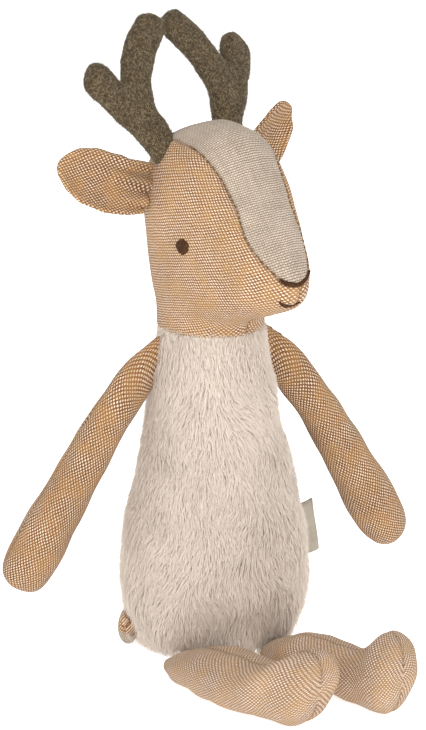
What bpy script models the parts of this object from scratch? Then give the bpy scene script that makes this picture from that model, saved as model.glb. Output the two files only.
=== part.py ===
"""Seated plush deer, a stuffed toy about 245 mm tall.

The deer sits on a flat base and faces -Y, with its own left side at +X and +Z up. The origin is the
centre of the flat base, on the surface that the toy sits on. The body is a long-pile cover of three
panels over stuffing and a pouch of pellets. The head is a cover of two side panels and a gusset, turned
a little to the deer's left on the collar seam. Limbs, ears, tail and label are each sewn in along one
straight seam line, flattened there, and they swing about that line. Each empty stands on such a line.
"""

import math

import bmesh
import bpy
from mathutils import Matrix, Vector
from mathutils.bvhtree import BVHTree

MM = 0.001
NAME = "plush_deer"

# Seams and cloth
SEAM_GAP = 0.3 * MM
CUT_OVERRUN = 12.0 * MM
PLUSH_WALL = 1.8 * MM
CLOTH_WALL = 0.8 * MM
STUFFING_GAP = 1.7 * MM
FELT_WALL = 1.0 * MM
THREAD_RADIUS = 0.45 * MM
FACE_STITCH_STEPS = 8
PHILTRUM_STEPS = 3
SWING_CLEARANCE = 0.35 * MM
ROOT_HALF_THICKNESS = 1.15 * MM
GROOVE_SIDES = 12

# Body, from the floor to the collar seam
BODY_HEIGHT = 128.5 * MM
BODY_RADIUS = 36.9 * MM
BODY_SIDES = 12
body_height_shares = (0.0, 0.03, 0.10, 0.20, 0.32, 0.47, 0.62, 0.80, 1.0)
body_radius_shares = (0.80, 0.87, 0.975, 1.03, 1.005, 0.895, 0.78, 0.655, 0.55)
body_depth_shares = (0.93, 0.93, 0.93, 0.93, 0.93, 0.94, 0.96, 0.98, 1.0)
BASE_THICKNESS = 1.4 * MM
POUCH_HEIGHT = 20.0 * MM
pouch_height_shares = (0.0, 0.12, 0.45, 0.80, 1.0)
pouch_width_shares = (0.78, 0.93, 0.98, 0.86, 0.50)

# Head, from the collar seam up, with its depth measured from the neck's axis
HEAD_TURN = 20.0
HEAD_HEIGHT = 77.0 * MM
HEAD_HALF_WIDTH = 23.6 * MM
HEAD_BACK = 25.0 * MM
HEAD_FRONT = 49.5 * MM
HEAD_SIDES = 12
MUZZLE_PINCH_SHARE = 0.28
head_height_shares = (0.0, 0.07, 0.13, 0.20, 0.29, 0.40, 0.56, 0.68, 0.79, 0.885, 0.955, 1.0)
head_width_shares = (0.84, 0.83, 0.85, 0.90, 0.93, 0.97, 1.01, 1.01, 0.95, 0.84, 0.60, 0.22)
head_back_shares = (0.80, 0.79, 0.81, 0.87, 0.90, 0.95, 1.00, 1.0, 0.92, 0.75, 0.42, 0.02)
head_front_shares = (0.40, 0.43, 0.84, 1.0, 1.0, 0.93, 0.71, 0.60, 0.50, 0.44, 0.38, 0.26)
# How square the face's front corners are at each height, as the power of the oval's sine and cosine
head_corner_shares = (1.0, 1.0, 1.0, 0.95, 0.85, 0.75, 0.68, 0.68, 0.70, 0.82, 1.0, 1.0)

# Gusset over the face, crown and back of the head: half widths at heights over the collar seam
GUSSET_NOSE_HEIGHT = 21.3 * MM
GUSSET_CROWN_HALF = 16.5 * MM
gusset_front_height_shares = (0.0, 0.05, 0.14, 0.25, 0.40, 0.55, 0.75, 1.0)
gusset_front_width_shares = (0.14, 0.38, 0.57, 0.74, 0.80, 0.80, 0.88, 1.0)
gusset_back_width_shares = (0.30, 0.33, 0.38, 0.46, 0.58, 0.72, 0.93, 1.0)

# Eyes and stitches, placed on the head from the front
EYE_HALF_LENGTH = 3.3 * MM
EYE_HALF_HEIGHT = 3.0 * MM
EYE_THICKNESS = 1.1 * MM
EYE_HEIGHT = 34.0 * MM
EYE_FORWARD = 8.2 * MM
EYE_SIDES = 12
eye_ring_shares = (1.0, 0.55)
NOSE_HEIGHT = 24.0 * MM
NOSE_HALF_WIDTH = 6.2 * MM
NOSE_RISE = 3.4 * MM
NOSE_STITCH_RADIUS = 0.8 * MM
MOUTH_HEIGHT = 16.4 * MM
MOUTH_HALF_WIDTH = 6.5 * MM
MOUTH_DROP = 1.6 * MM

# Antlers: stem, then a beam that points up and inward and a tine that points outward
ANTLER_ROOT_SIDE = 16.8 * MM
ANTLER_ROOT_BACK = 6.6 * MM
ANTLER_ROOT_HEIGHT = 66.5 * MM
ANTLER_HEIGHT = 50.0 * MM
ANTLER_LEAN = 26.5
ANTLER_SPLAY = 7.0
ANTLER_THICKNESS = 9.0 * MM
ANTLER_EDGE = 2.8 * MM
ANTLER_LOOSE = 0.8 * MM
# Each row of the flat outline: its middle (out, up) and half width, of the height, and its turn
antler_stem_shares = (
    (-0.10, -0.18, 0.11, 0.0),
    (-0.01, 0.08, 0.15, -6.0),
    (0.115, 0.285, 0.185, -9.0),
    (0.215, 0.49, 0.26, -3.0),
)
antler_beam_shares = ((0.045, 0.72, 0.145, 23.0), (-0.065, 0.90, 0.135, 29.0), (-0.15, 1.05, 0.095, 33.0))
antler_tine_shares = ((0.385, 0.60, 0.155, -38.0), (0.44, 0.69, 0.125, -42.0), (0.47, 0.745, 0.08, -46.0))

# Ears: a cupped leaf of two layers
EAR_ROOT_SIDE = 22.3 * MM
EAR_ROOT_BACK = 9.0 * MM
EAR_ROOT_HEIGHT = 50.2 * MM
EAR_HALF_WIDTH = 11.0 * MM
EAR_LENGTH = 40.0 * MM
RIGHT_EAR_SWEEP = 16.0
LEFT_EAR_SWEEP = 9.0
EAR_RISE = 21.0
RIGHT_EAR_LIFT = 1.5 * MM
LEFT_EAR_LIFT = 8.0 * MM
EAR_CUP = 4.5 * MM
EAR_WALL = 0.8 * MM
ear_length_shares = (0.0, 0.14, 0.42, 0.72, 0.90, 1.0)
ear_width_shares = (0.58, 0.80, 1.04, 0.98, 0.74, 0.48)
ear_cup_shares = (0.25, 0.60, 1.0, 0.84, 0.52, 0.30)

# Arms, sewn flat into the side seams
ARM_SEAM_TOP = 125.0 * MM
ARM_SEAM_HALF = 10.5 * MM
ARM_LENGTH = 91.0 * MM
ARM_SPREAD = 23.8
ARM_BACK = 2.0
ARM_SIDES = 8
ARM_RADIUS = 8.3 * MM
ARM_GROOVE = 2.5 * MM
arm_length_shares = (0.05, 0.12, 0.22, 0.50, 0.80, 0.94, 1.0)
arm_turn_shares = (0.40, 0.75, 1.0, 1.0, 1.0, 1.0, 1.0)
arm_width_shares = (1.15, 1.02, 1.02, 1.14, 1.26, 1.14, 0.70)
arm_bow_shares = (0.0, 0.10, 0.20, 0.26, 0.14, 0.0, 0.0)
arm_depth_shares = (0.24, 0.48, 0.80, 1.0, 1.14, 1.06, 0.68)

# Legs, sewn under the front of the body
HIP_HALF_SPACING = 17.3 * MM
HIP_FORWARD = 23.8 * MM
HIP_SLANT = 20.0
LEG_YAW = 9.5
LEG_ROOT_HALF = 9.6 * MM
LEG_RADIUS = 9.6 * MM
LEG_LENGTH = 67.0 * MM
LEG_SIDES = 8
LEG_GROOVE = 3.2 * MM
LEG_STUFFING_GAP = 2.2 * MM
FOOT_LENGTH = 32.0 * MM
FOOT_DEPTH = 20.0 * MM
FOOT_RADIUS = 9.8 * MM
RIGHT_FOOT_ROLL = 42.0
LEFT_FOOT_ROLL = 14.0
leg_length_shares = (0.10, 0.28, 0.56, 0.88)
leg_turn_shares = (0.3, 0.8, 1.0, 1.0)
leg_width_shares = (1.20, 1.50, 1.45, 1.17)
leg_shift_shares = (0.15, 0.47, 0.46, 0.19)
leg_depth_shares = (0.26, 0.68, 1.0, 0.98)
foot_depth_shares = (0.10, 0.30, 0.75, 1.0)
foot_rise_shares = (0.45, 1.0, 1.0, 1.0)
foot_size_shares = (0.98, 1.02, 0.98, 0.56)

# Tail, sewn under the back and curled round the right side
TAIL_ROOT_ANGLE = 50.0
TAIL_TIP_ANGLE = 92.0
TAIL_HALF_HEIGHT = 5.6 * MM
TAIL_HALF_THICKNESS = 3.4 * MM
TAIL_SINK = 1.6 * MM
TAIL_GROOVE = 4.0 * MM
TAIL_CLEARANCE = 0.7 * MM
TAIL_SIDES = 8
tail_length_shares = (0.0, 0.15, 0.50, 0.80, 0.95, 1.0)
tail_height_shares = (0.72, 0.90, 1.0, 1.05, 0.90, 0.55)
tail_thickness_shares = (0.30, 0.46, 0.76, 1.0, 0.86, 0.50)

# Label, a folded strip in the left side seam
LABEL_HEIGHT = 21.0 * MM
LABEL_LENGTH = 8.0 * MM
LABEL_LEAF = 0.5 * MM
LABEL_MIDDLE = 39.0 * MM

COLOURS = {
    "plush": ((0.79, 0.72, 0.63), 0.95),
    "tan_cloth": ((0.58, 0.37, 0.18), 0.9),
    "pale_cloth": ((0.62, 0.43, 0.26), 0.9),
    "linen": ((0.62, 0.53, 0.43), 0.9),
    "felt": ((0.16, 0.12, 0.08), 0.95),
    "thread": ((0.05, 0.025, 0.015), 0.6),
    "label": ((0.52, 0.47, 0.38), 0.8),
    "fibre": ((0.85, 0.85, 0.82), 0.9),
    "pellets": ((0.7, 0.68, 0.62), 0.8),
}


def clear_scene():
    """Remove every object that the file starts with."""
    for item in list(bpy.data.objects):
        bpy.data.objects.remove(item, do_unlink=True)


def make_collection(name):
    """Return a new collection linked to the scene."""
    collection = bpy.data.collections.new(name)
    bpy.context.scene.collection.children.link(collection)
    return collection


def make_material(node, kind):
    """Return a Principled material of its own for one node."""
    colour, roughness = COLOURS[kind]
    made = bpy.data.materials.new(node)
    made.use_nodes = True
    shader = made.node_tree.nodes["Principled BSDF"]
    shader.inputs["Base Color"].default_value = (*colour, 1.0)
    shader.inputs["Roughness"].default_value = roughness
    shader.inputs["Metallic"].default_value = 0.0
    return made


def make_piece(name, mesh, kind, parent=None):
    """Link a mesh or curve as one node of the model."""
    piece = bpy.data.objects.new(name, mesh)
    mesh.materials.append(make_material(name, kind))
    MODEL.objects.link(piece)
    piece.parent = parent
    return piece


def make_guide(name, mesh, parent=None):
    """Link a mesh as a cutter or guide that is not part of the model."""
    guide = bpy.data.objects.new(name, mesh)
    CUTTERS.objects.link(guide)
    guide.parent = parent
    guide.hide_render = True
    guide.display_type = "WIRE"
    return guide


def make_pivot(name, place, turn=None, parent=None):
    """Link an empty that stands on a joint's axis."""
    pivot = bpy.data.objects.new(name, None)
    MODEL.objects.link(pivot)
    pivot.parent = parent
    pivot.matrix_basis = Matrix.Translation(place) @ (turn or Matrix.Identity(3)).to_4x4()
    return pivot


def swell(sides):
    """Return the factor that keeps a cage ring's radius under Subdivision Surface."""
    return 3.0 / (2.0 + math.cos(2.0 * math.pi / sides))


def oval(centre, across, upward, sides, smooth=True):
    """Return a ring of points round a centre, swollen where the ring is to be smoothed."""
    grow = swell(sides) if smooth else 1.0
    ring = []
    for step in range(sides):
        angle = 2.0 * math.pi * step / sides
        ring.append(centre + (across * math.cos(angle) + upward * math.sin(angle)) * grow)
    return ring


def loft(name, sections, closed=True, cap_first=False, cap_last=False):
    """Return a mesh that joins unlike sections of equal point counts, one after the other."""
    bm = bmesh.new()
    rows = [[bm.verts.new(point) for point in section] for section in sections]
    count = len(rows[0])
    last = count if closed else count - 1
    for lower, upper in zip(rows, rows[1:]):
        for step in range(last):
            following = (step + 1) % count
            bm.faces.new((lower[step], lower[following], upper[following], upper[step]))
    if cap_first:
        bm.faces.new(list(reversed(rows[0])))
    if cap_last:
        bm.faces.new(rows[-1])
    bmesh.ops.recalc_face_normals(bm, faces=bm.faces)
    mesh = bpy.data.meshes.new(name)
    bm.to_mesh(mesh)
    bm.free()
    mesh.shade_smooth()
    return mesh


def box_mesh(name, low, high):
    """Return a box between two corners."""
    bm = bmesh.new()
    size = high - low
    place = Matrix.Translation((low + high) / 2.0) @ Matrix.Diagonal((*size, 1.0))
    bmesh.ops.create_cube(bm, size=1.0, matrix=place)
    mesh = bpy.data.meshes.new(name)
    bm.to_mesh(mesh)
    bm.free()
    return mesh


def rod_mesh(name, radius, low, high, axis):
    """Return a closed cylinder along an axis, between two distances from the local origin."""
    bm = bmesh.new()
    turn = axis.to_track_quat("Z", "Y").to_matrix().to_4x4()
    bmesh.ops.create_cone(
        bm,
        cap_ends=True,
        segments=GROOVE_SIDES,
        radius1=radius,
        radius2=radius,
        depth=high - low,
        matrix=Matrix.Translation(axis * (low + high) / 2.0) @ turn,
    )
    mesh = bpy.data.meshes.new(name)
    bm.to_mesh(mesh)
    bm.free()
    return mesh


def subdivide(piece, levels=1):
    """Round a cage."""
    modifier = piece.modifiers.new("rounding", "SUBSURF")
    modifier.levels = levels
    modifier.render_levels = levels


def thicken(piece, wall, offset=-1.0):
    """Give an open surface its wall, inward unless told otherwise."""
    modifier = piece.modifiers.new("wall", "SOLIDIFY")
    modifier.thickness = wall
    modifier.offset = offset
    modifier.use_even_offset = True


def stuffing(name, sections, draw_in, parent=None):
    """Make the stuffing inside a cover, faceted and drawn in from the cover's own rings."""
    piece = make_piece(name, loft(name, sections, True, True, True), "fibre", parent)
    swell_by(piece, -draw_in)
    return piece


def swell_by(piece, distance):
    """Move a closed surface out along its normals, or in where the distance is negative."""
    modifier = piece.modifiers.new("offset", "DISPLACE")
    modifier.strength = distance
    modifier.mid_level = 0.0


def cut(piece, cutter, operation="DIFFERENCE"):
    """Cut a piece, or keep only what lies in the cutter."""
    modifier = piece.modifiers.new(operation.lower(), "BOOLEAN")
    modifier.object = cutter
    modifier.operation = operation
    modifier.solver = "EXACT"


def body_width(height):
    """Return the body's half width at a height, between the rings of its cage."""
    return BODY_RADIUS * between(body_height_shares, body_radius_shares, height / BODY_HEIGHT)


def body_depth(height):
    """Return the body's half depth at a height."""
    return body_width(height) * between(body_height_shares, body_depth_shares, height / BODY_HEIGHT)


def between(places, values, place):
    """Return the value at a place on a table, straight between its entries."""
    for low, high, first, second in zip(places, places[1:], values, values[1:]):
        if place <= high:
            part = max(place - low, 0.0) / (high - low)
            return first + (second - first) * part
    return values[-1]


def body_sections(floor, ceiling, smooth=True):
    """Return the body's rings between two heights."""
    heights = [floor]
    heights += [s * BODY_HEIGHT for s in body_height_shares if floor < s * BODY_HEIGHT < ceiling]
    heights.append(ceiling)
    rings = []
    for height in heights:
        across = Vector((body_width(height), 0.0, 0.0))
        upward = Vector((0.0, body_depth(height), 0.0))
        rings.append(oval(Vector((0.0, 0.0, height)), across, upward, BODY_SIDES, smooth))
    return rings


def head_ring(height, smooth):
    """Return one level ring of the head, with a narrow muzzle and squarer corners over it."""
    share = height / HEAD_HEIGHT
    half = HEAD_HALF_WIDTH * between(head_height_shares, head_width_shares, share)
    back = HEAD_BACK * between(head_height_shares, head_back_shares, share)
    front = HEAD_FRONT * between(head_height_shares, head_front_shares, share)
    pinch = MUZZLE_PINCH_SHARE * max(front / half - 1.0, 0.0) / (HEAD_FRONT / HEAD_HALF_WIDTH - 1.0)
    corner = between(head_height_shares, head_corner_shares, share)
    grow = swell(HEAD_SIDES) if smooth else 1.0
    ring = []
    for step in range(HEAD_SIDES):
        angle = 2.0 * math.pi * step / HEAD_SIDES
        sine = math.sin(angle)
        cosine = math.cos(angle)
        if sine > 0.0:
            across, along = half * cosine, back * sine
        else:
            narrow = half * (1.0 - pinch * sine * sine)
            across = math.copysign(narrow * abs(cosine) ** corner, cosine)
            along = -front * abs(sine) ** corner
        ring.append(Vector((across * grow, along * grow, height)))
    return ring


def head_sections(smooth=True):
    """Return the head's rings from the collar seam to the crown."""
    floor = SEAM_GAP
    heights = [floor] + [s * HEAD_HEIGHT for s in head_height_shares if s * HEAD_HEIGHT > floor]
    return [head_ring(height, smooth) for height in heights]


def gusset_sections(grow):
    """Return the gusset's outline in front of the crown and behind it, as sections along Y."""
    top = HEAD_HEIGHT + CUT_OVERRUN
    front_low = GUSSET_NOSE_HEIGHT - grow
    back_low = -CUT_OVERRUN
    reach = HEAD_FRONT + CUT_OVERRUN
    span = HEAD_HEIGHT - GUSSET_NOSE_HEIGHT
    sections = []
    for place, low, shares in (
        (-reach, front_low, gusset_front_width_shares),
        (-SEAM_GAP, front_low, gusset_front_width_shares),
        (SEAM_GAP, back_low, gusset_back_width_shares),
        (reach, back_low, gusset_back_width_shares),
    ):
        rows = [(top, shares[-1])]
        for level, width in reversed(list(zip(gusset_front_height_shares, shares))):
            height = GUSSET_NOSE_HEIGHT + span * level if low == front_low else low + (top - low) * level
            rows.append((height, width))
        rows[-1] = (low, shares[0])
        right = [Vector((-(GUSSET_CROWN_HALF * w + grow), place, h)) for h, w in rows]
        left = [Vector((GUSSET_CROWN_HALF * w + grow, place, h)) for h, w in reversed(rows)]
        sections.append(right + left)
    return sections


def surface_of(guide):
    """Return a search tree over a guide's evaluated surface, in its own coordinates."""
    return BVHTree.FromObject(guide, bpy.context.evaluated_depsgraph_get())


def on_face(tree, across, height, lift):
    """Return the point over the face at a place seen from the front, lifted off the surface."""
    start = Vector((across, -HEAD_FRONT - CUT_OVERRUN, height))
    point, normal, _, _ = tree.ray_cast(start, Vector((0.0, 1.0, 0.0)))
    return point + normal * lift


def stitch(name, points, radius, parent):
    """Make a thread that lies along points, as a round rope with closed ends."""
    curve = bpy.data.curves.new(name, "CURVE")
    curve.dimensions = "3D"
    curve.bevel_depth = radius
    curve.bevel_resolution = 1
    curve.use_fill_caps = True
    curve.resolution_u = 1
    curve.render_resolution_u = 0
    spline = curve.splines.new("POLY")
    spline.points.add(len(points) - 1)
    for slot, point in zip(spline.points, points):
        slot.co = (*point, 1.0)
    return make_piece(name, curve, "thread", parent)


def make_body(grooves):
    """Make the plush panels, the base panel, the stuffing and the pouch of pellets."""
    reach = BODY_RADIUS + CUT_OVERRUN
    top = BODY_HEIGHT + CUT_OVERRUN
    half_gap = SEAM_GAP / 2.0
    for name, low, high in (
        ("body_front_panel", -reach, -half_gap),
        ("body_back_panel", half_gap, reach),
    ):
        sections = body_sections(0.0, BODY_HEIGHT)
        panel = make_piece(name, loft(name, sections), "plush")
        subdivide(panel)
        thicken(panel, PLUSH_WALL)
        corner = Vector((-reach, low, -CUT_OVERRUN))
        half = box_mesh(name + "_half", corner, Vector((reach, high, top)))
        cut(panel, make_guide(name + "_half", half), "INTERSECT")
        for groove in grooves:
            cut(panel, groove)

    inset = PLUSH_WALL + SEAM_GAP
    wide = body_width(0.0) - inset
    deep = body_depth(0.0) - inset
    rings = []
    for height in (0.0, BASE_THICKNESS):
        centre = Vector((0.0, 0.0, height))
        rings.append(oval(centre, Vector((wide, 0.0, 0.0)), Vector((0.0, deep, 0.0)), BODY_SIDES * 2, False))
    base = make_piece("body_base_panel", loft("body_base_panel", rings, True, True, True), "plush")
    for groove in grooves:
        cut(base, groove)

    pouch_floor = BASE_THICKNESS + SEAM_GAP
    rings = []
    for level, size in zip(pouch_height_shares, pouch_width_shares):
        centre = Vector((0.0, 0.0, pouch_floor + POUCH_HEIGHT * level))
        across = Vector((wide * size, 0.0, 0.0))
        rings.append(oval(centre, across, Vector((0.0, deep * size, 0.0)), BODY_SIDES))
    pouch = make_piece("pellet_pouch", loft("pellet_pouch", rings, True, True, True), "pellets")
    draw_in = PLUSH_WALL + STUFFING_GAP
    floor = pouch_floor + POUCH_HEIGHT + SEAM_GAP - draw_in / 2.0
    filling = stuffing("body_filling", body_sections(floor, BODY_HEIGHT, False), draw_in)
    for piece in (pouch, filling):
        for groove in grooves:
            cut(piece, groove)


def make_head(pivot, grooves):
    """Make the head's panels, gusset, stuffing, eyes and stitches, and return its grown form."""
    reach = HEAD_FRONT + CUT_OVERRUN
    top = HEAD_HEIGHT + CUT_OVERRUN
    gusset = make_guide("gusset_cutter", loft("gusset_cutter", gusset_sections(0.0), True, True, True), pivot)
    wider = loft("gusset_clearance", gusset_sections(SEAM_GAP), True, True, True)
    clearance = make_guide("gusset_clearance", wider, pivot)
    sections = head_sections()
    for name, low, high in (
        ("head_right_panel", -reach, -SEAM_GAP / 2.0),
        ("head_left_panel", SEAM_GAP / 2.0, reach),
    ):
        panel = make_piece(name, loft(name, sections, True, False, True), "tan_cloth", pivot)
        subdivide(panel)
        thicken(panel, CLOTH_WALL)
        half = box_mesh(name + "_half", Vector((low, -reach, -top)), Vector((high, reach, top)))
        cut(panel, make_guide(name + "_half", half, pivot), "INTERSECT")
        cut(panel, clearance)
        for groove in grooves:
            cut(panel, groove)
    blaze = make_piece("head_blaze", loft("head_blaze", sections, True, False, True), "linen", pivot)
    subdivide(blaze)
    thicken(blaze, CLOTH_WALL)
    cut(blaze, gusset, "INTERSECT")

    filling = stuffing("head_filling", head_sections(False)[:-1], CLOTH_WALL + STUFFING_GAP, pivot)
    for groove in grooves:
        cut(filling, groove)

    form = make_guide("head_form", loft("head_form", sections, True, True, True), pivot)
    subdivide(form)
    swell_by(form, SEAM_GAP)
    bpy.context.view_layer.update()
    tree = surface_of(form)
    make_eyes(pivot, form, tree)
    make_stitches(pivot, tree)
    return form


def make_eyes(pivot, form, tree):
    """Make the two embroidered eyes, each a patch that follows the side of the head."""
    for side, name in ((-1.0, "eye_right"), (1.0, "eye_left")):
        start = Vector((side * (HEAD_HALF_WIDTH + CUT_OVERRUN), -EYE_FORWARD, EYE_HEIGHT))
        point, normal, _, _ = tree.ray_cast(start, Vector((-side, 0.0, 0.0)))
        forward = Vector((0.0, -1.0, 0.0))
        forward = (forward - normal * forward.dot(normal)).normalized()
        upward = normal.cross(forward) * side
        rings = []
        for share in eye_ring_shares:
            across = forward * EYE_HALF_LENGTH * share
            rings.append(oval(point, across, upward * EYE_HALF_HEIGHT * share * side, EYE_SIDES))
        mesh = loft(name, rings, True, False, True)
        eye = make_piece(name, mesh, "thread", pivot)
        wrap = eye.modifiers.new("lie on the head", "SHRINKWRAP")
        wrap.target = form
        wrap.wrap_method = "NEAREST_SURFACEPOINT"
        wrap.wrap_mode = "ABOVE_SURFACE"
        wrap.offset = SEAM_GAP / 2.0
        thicken(eye, EYE_THICKNESS, 1.0)


def make_stitches(pivot, tree):
    """Make the nose line, the upright under it and the mouth thread."""
    nose = []
    for step in range(FACE_STITCH_STEPS + 1):
        share = 2.0 * step / FACE_STITCH_STEPS - 1.0
        height = NOSE_HEIGHT + NOSE_RISE * share * share
        nose.append(on_face(tree, NOSE_HALF_WIDTH * share, height, NOSE_STITCH_RADIUS))
    stitch("nose_stitch", nose, NOSE_STITCH_RADIUS, pivot)
    mouth = []
    for step in range(FACE_STITCH_STEPS + 1):
        share = 2.0 * step / FACE_STITCH_STEPS - 1.0
        height = MOUTH_HEIGHT - MOUTH_DROP * abs(math.sin(math.pi * share))
        mouth.append(on_face(tree, MOUTH_HALF_WIDTH * share, height, THREAD_RADIUS))
    stitch("mouth_stitch", mouth, THREAD_RADIUS, pivot)
    first = NOSE_HEIGHT - NOSE_STITCH_RADIUS - THREAD_RADIUS - SEAM_GAP
    last = MOUTH_HEIGHT + 2.0 * THREAD_RADIUS + SEAM_GAP
    upright = []
    for step in range(PHILTRUM_STEPS + 1):
        height = first + (last - first) * step / PHILTRUM_STEPS
        upright.append(on_face(tree, 0.0, height, THREAD_RADIUS))
    stitch("philtrum_stitch", upright, THREAD_RADIUS, pivot)


def antler_mesh(name, side, inset):
    """Return an antler's cage: a stem that forks into a beam and a tine, drawn in by an inset."""
    lean = math.radians(ANTLER_LEAN)
    splay = math.radians(ANTLER_SPLAY)
    out = Vector((side * math.cos(splay), math.sin(splay), 0.0))
    back = Vector((-side * math.sin(splay), math.cos(splay), 0.0))
    upright = Vector((0.0, 0.0, 1.0))
    up = back * math.sin(lean) + upright * math.cos(lean)
    thick = back * math.cos(lean) - upright * math.sin(lean)
    root = Vector((side * ANTLER_ROOT_SIDE, ANTLER_ROOT_BACK, ANTLER_ROOT_HEIGHT))
    full = ANTLER_THICKNESS / 2.0 - inset
    edge = max(ANTLER_EDGE / 2.0 - inset, SEAM_GAP)
    bm = bmesh.new()

    def row(shares, count, drawn=0.0):
        """Add one row of front and back points across the flat outline, drawn back along the branch."""
        across, upward, half, turn = shares
        along = Vector((math.cos(math.radians(turn)), math.sin(math.radians(turn))))
        middle = Vector((across, upward)) * ANTLER_HEIGHT - along.orthogonal() * drawn
        made = []
        for step in range(count):
            share = 2.0 * step / (count - 1) - 1.0
            place = middle + along * (half * ANTLER_HEIGHT - inset) * share
            point = root + out * place.x + up * place.y
            deep = thick * (edge if abs(share) == 1.0 else full)
            made.append((bm.verts.new(point - deep), bm.verts.new(point + deep)))
        return made

    def skin(lower, upper):
        """Join two rows with faces in front, behind and along both edges."""
        for (a, b), (c, d), (e, f), (g, h) in zip(lower, lower[1:], upper, upper[1:]):
            bm.faces.new((a, c, g, e))
            bm.faces.new((d, b, f, h))
        for (a, b), (c, d) in ((lower[0], upper[0]), (upper[-1], lower[-1])):
            bm.faces.new((a, c, d, b))

    def cap(last):
        """Close a row."""
        for (a, b), (c, d) in zip(last, last[1:]):
            bm.faces.new((a, c, d, b))

    stem = [row(shares, 5) for shares in antler_stem_shares]
    cap(stem[0])
    for lower, upper in zip(stem, stem[1:]):
        skin(lower, upper)
    for branch, below in ((antler_beam_shares, stem[-1][:3]), (antler_tine_shares, stem[-1][2:])):
        for shares in branch:
            above = row(shares, 3, inset if shares is branch[-1] else 0.0)
            skin(below, above)
            below = above
        cap(below)
    bmesh.ops.recalc_face_normals(bm, faces=bm.faces)
    mesh = bpy.data.meshes.new(name)
    bm.to_mesh(mesh)
    bm.free()
    mesh.shade_smooth()
    return mesh


def make_antlers(pivot, form):
    """Make the felt covers of the antlers and their stuffing, seated on the head."""
    for side, word in ((-1.0, "right"), (1.0, "left")):
        name = "antler_" + word + "_cover"
        cover = make_piece(name, antler_mesh(name, side, 0.0), "felt", pivot)
        subdivide(cover)
        cut(cover, form)
        hollow = make_guide(name + "_hollow", antler_mesh(name + "_hollow", side, FELT_WALL), pivot)
        subdivide(hollow)
        cut(cover, hollow)
        name = "antler_" + word + "_filling"
        filling = make_piece(name, antler_mesh(name, side, FELT_WALL + ANTLER_LOOSE), "fibre", pivot)
        subdivide(filling)
        cut(filling, form)


def ear_mesh(name, side, lift):
    """Return an ear's middle surface, facing back, in the frame of its seam line."""
    sections = []
    for along, width, cup in zip(ear_length_shares, ear_width_shares, ear_cup_shares):
        section = []
        for step in range(5):
            share = step / 2.0 - 1.0
            out = EAR_LENGTH * along * (1.0 - 0.10 * share * share * along)
            back = EAR_CUP * cup * (1.0 - share * share)
            high = EAR_HALF_WIDTH * width * share + lift * along * along
            section.append(Vector((side * out, back, high)))
        sections.append(section)
    mesh = loft(name, sections, False)
    if mesh.polygons[0].normal.y < 0.0:
        mesh.flip_normals()
    return mesh


def make_ears(pivot):
    """Make both ears and return the grooves that their roots swing in."""
    grooves = []
    for side, word, lift, turn in (
        (-1.0, "right", RIGHT_EAR_LIFT, -RIGHT_EAR_SWEEP),
        (1.0, "left", LEFT_EAR_LIFT, LEFT_EAR_SWEEP),
    ):
        sweep = Matrix.Rotation(math.radians(turn), 3, "Z")
        rise = Matrix.Rotation(math.radians(-side * EAR_RISE), 3, "Y")
        place = Vector((side * EAR_ROOT_SIDE, EAR_ROOT_BACK, EAR_ROOT_HEIGHT))
        hinge = make_pivot("ear_" + word + "_pivot", place, sweep @ rise, pivot)
        for layer, way in (("front", -1.0), ("back", 1.0)):
            name = "ear_" + word + "_" + layer
            ear = make_piece(name, ear_mesh(name, side, lift), "tan_cloth", hinge)
            subdivide(ear)
            swell_by(ear, way * SEAM_GAP / 2.0)
            thicken(ear, EAR_WALL, way)
        radius = EAR_WALL + EAR_CUP * ear_cup_shares[0] + SEAM_GAP + 2.0 * SWING_CLEARANCE
        reach = EAR_HALF_WIDTH * ear_width_shares[1] + SWING_CLEARANCE
        groove = rod_mesh("ear_groove", radius, -reach, reach, Vector((0.0, 0.0, 1.0)))
        grooves.append(make_guide("ear_" + word + "_groove", groove, hinge))
    return grooves


def seam_pivot(name, low, high, side):
    """Return a pivot in a side seam of the body whose Z axis runs along the seam."""
    foot = Vector((side * body_width(low), 0.0, low))
    head = Vector((side * body_width(high), 0.0, high))
    up = (head - foot).normalized()
    back = Vector((0.0, 1.0, 0.0))
    turn = Matrix((back.cross(up), back, up)).transposed()
    middle = (foot + head) / 2.0
    middle.x = side * body_width(middle.z)
    return make_pivot(name, middle, turn)


def arm_sections(side, smooth=True):
    """Return an arm's rings in the frame of its seam line, from the flat root to the paw."""
    spread = math.radians(ARM_SPREAD)
    back = math.sin(math.radians(ARM_BACK))
    way = Vector((side * math.sin(spread), back, -math.cos(spread))).normalized()
    square = Vector((side * math.cos(spread), 0.0, math.sin(spread)))
    flat = Vector((0.0, 0.0, 1.0))
    rings = []
    root = flat * ARM_SEAM_HALF
    rings.append(oval(Vector(), root, Vector((0.0, ROOT_HALF_THICKNESS, 0.0)), ARM_SIDES, smooth))
    rows = zip(arm_length_shares, arm_turn_shares, arm_width_shares, arm_depth_shares, arm_bow_shares)
    for along, turned, width, depth, bow in rows:
        across = flat.lerp(square, turned).normalized()
        wide = across * ARM_RADIUS * width
        deep = way.cross(across).normalized() * ARM_RADIUS * depth
        centre = way * ARM_LENGTH * along - flat * ARM_SEAM_HALF + wide - square * ARM_RADIUS * bow
        rings.append(oval(centre, wide, deep * side, ARM_SIDES, smooth))
    return rings


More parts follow.
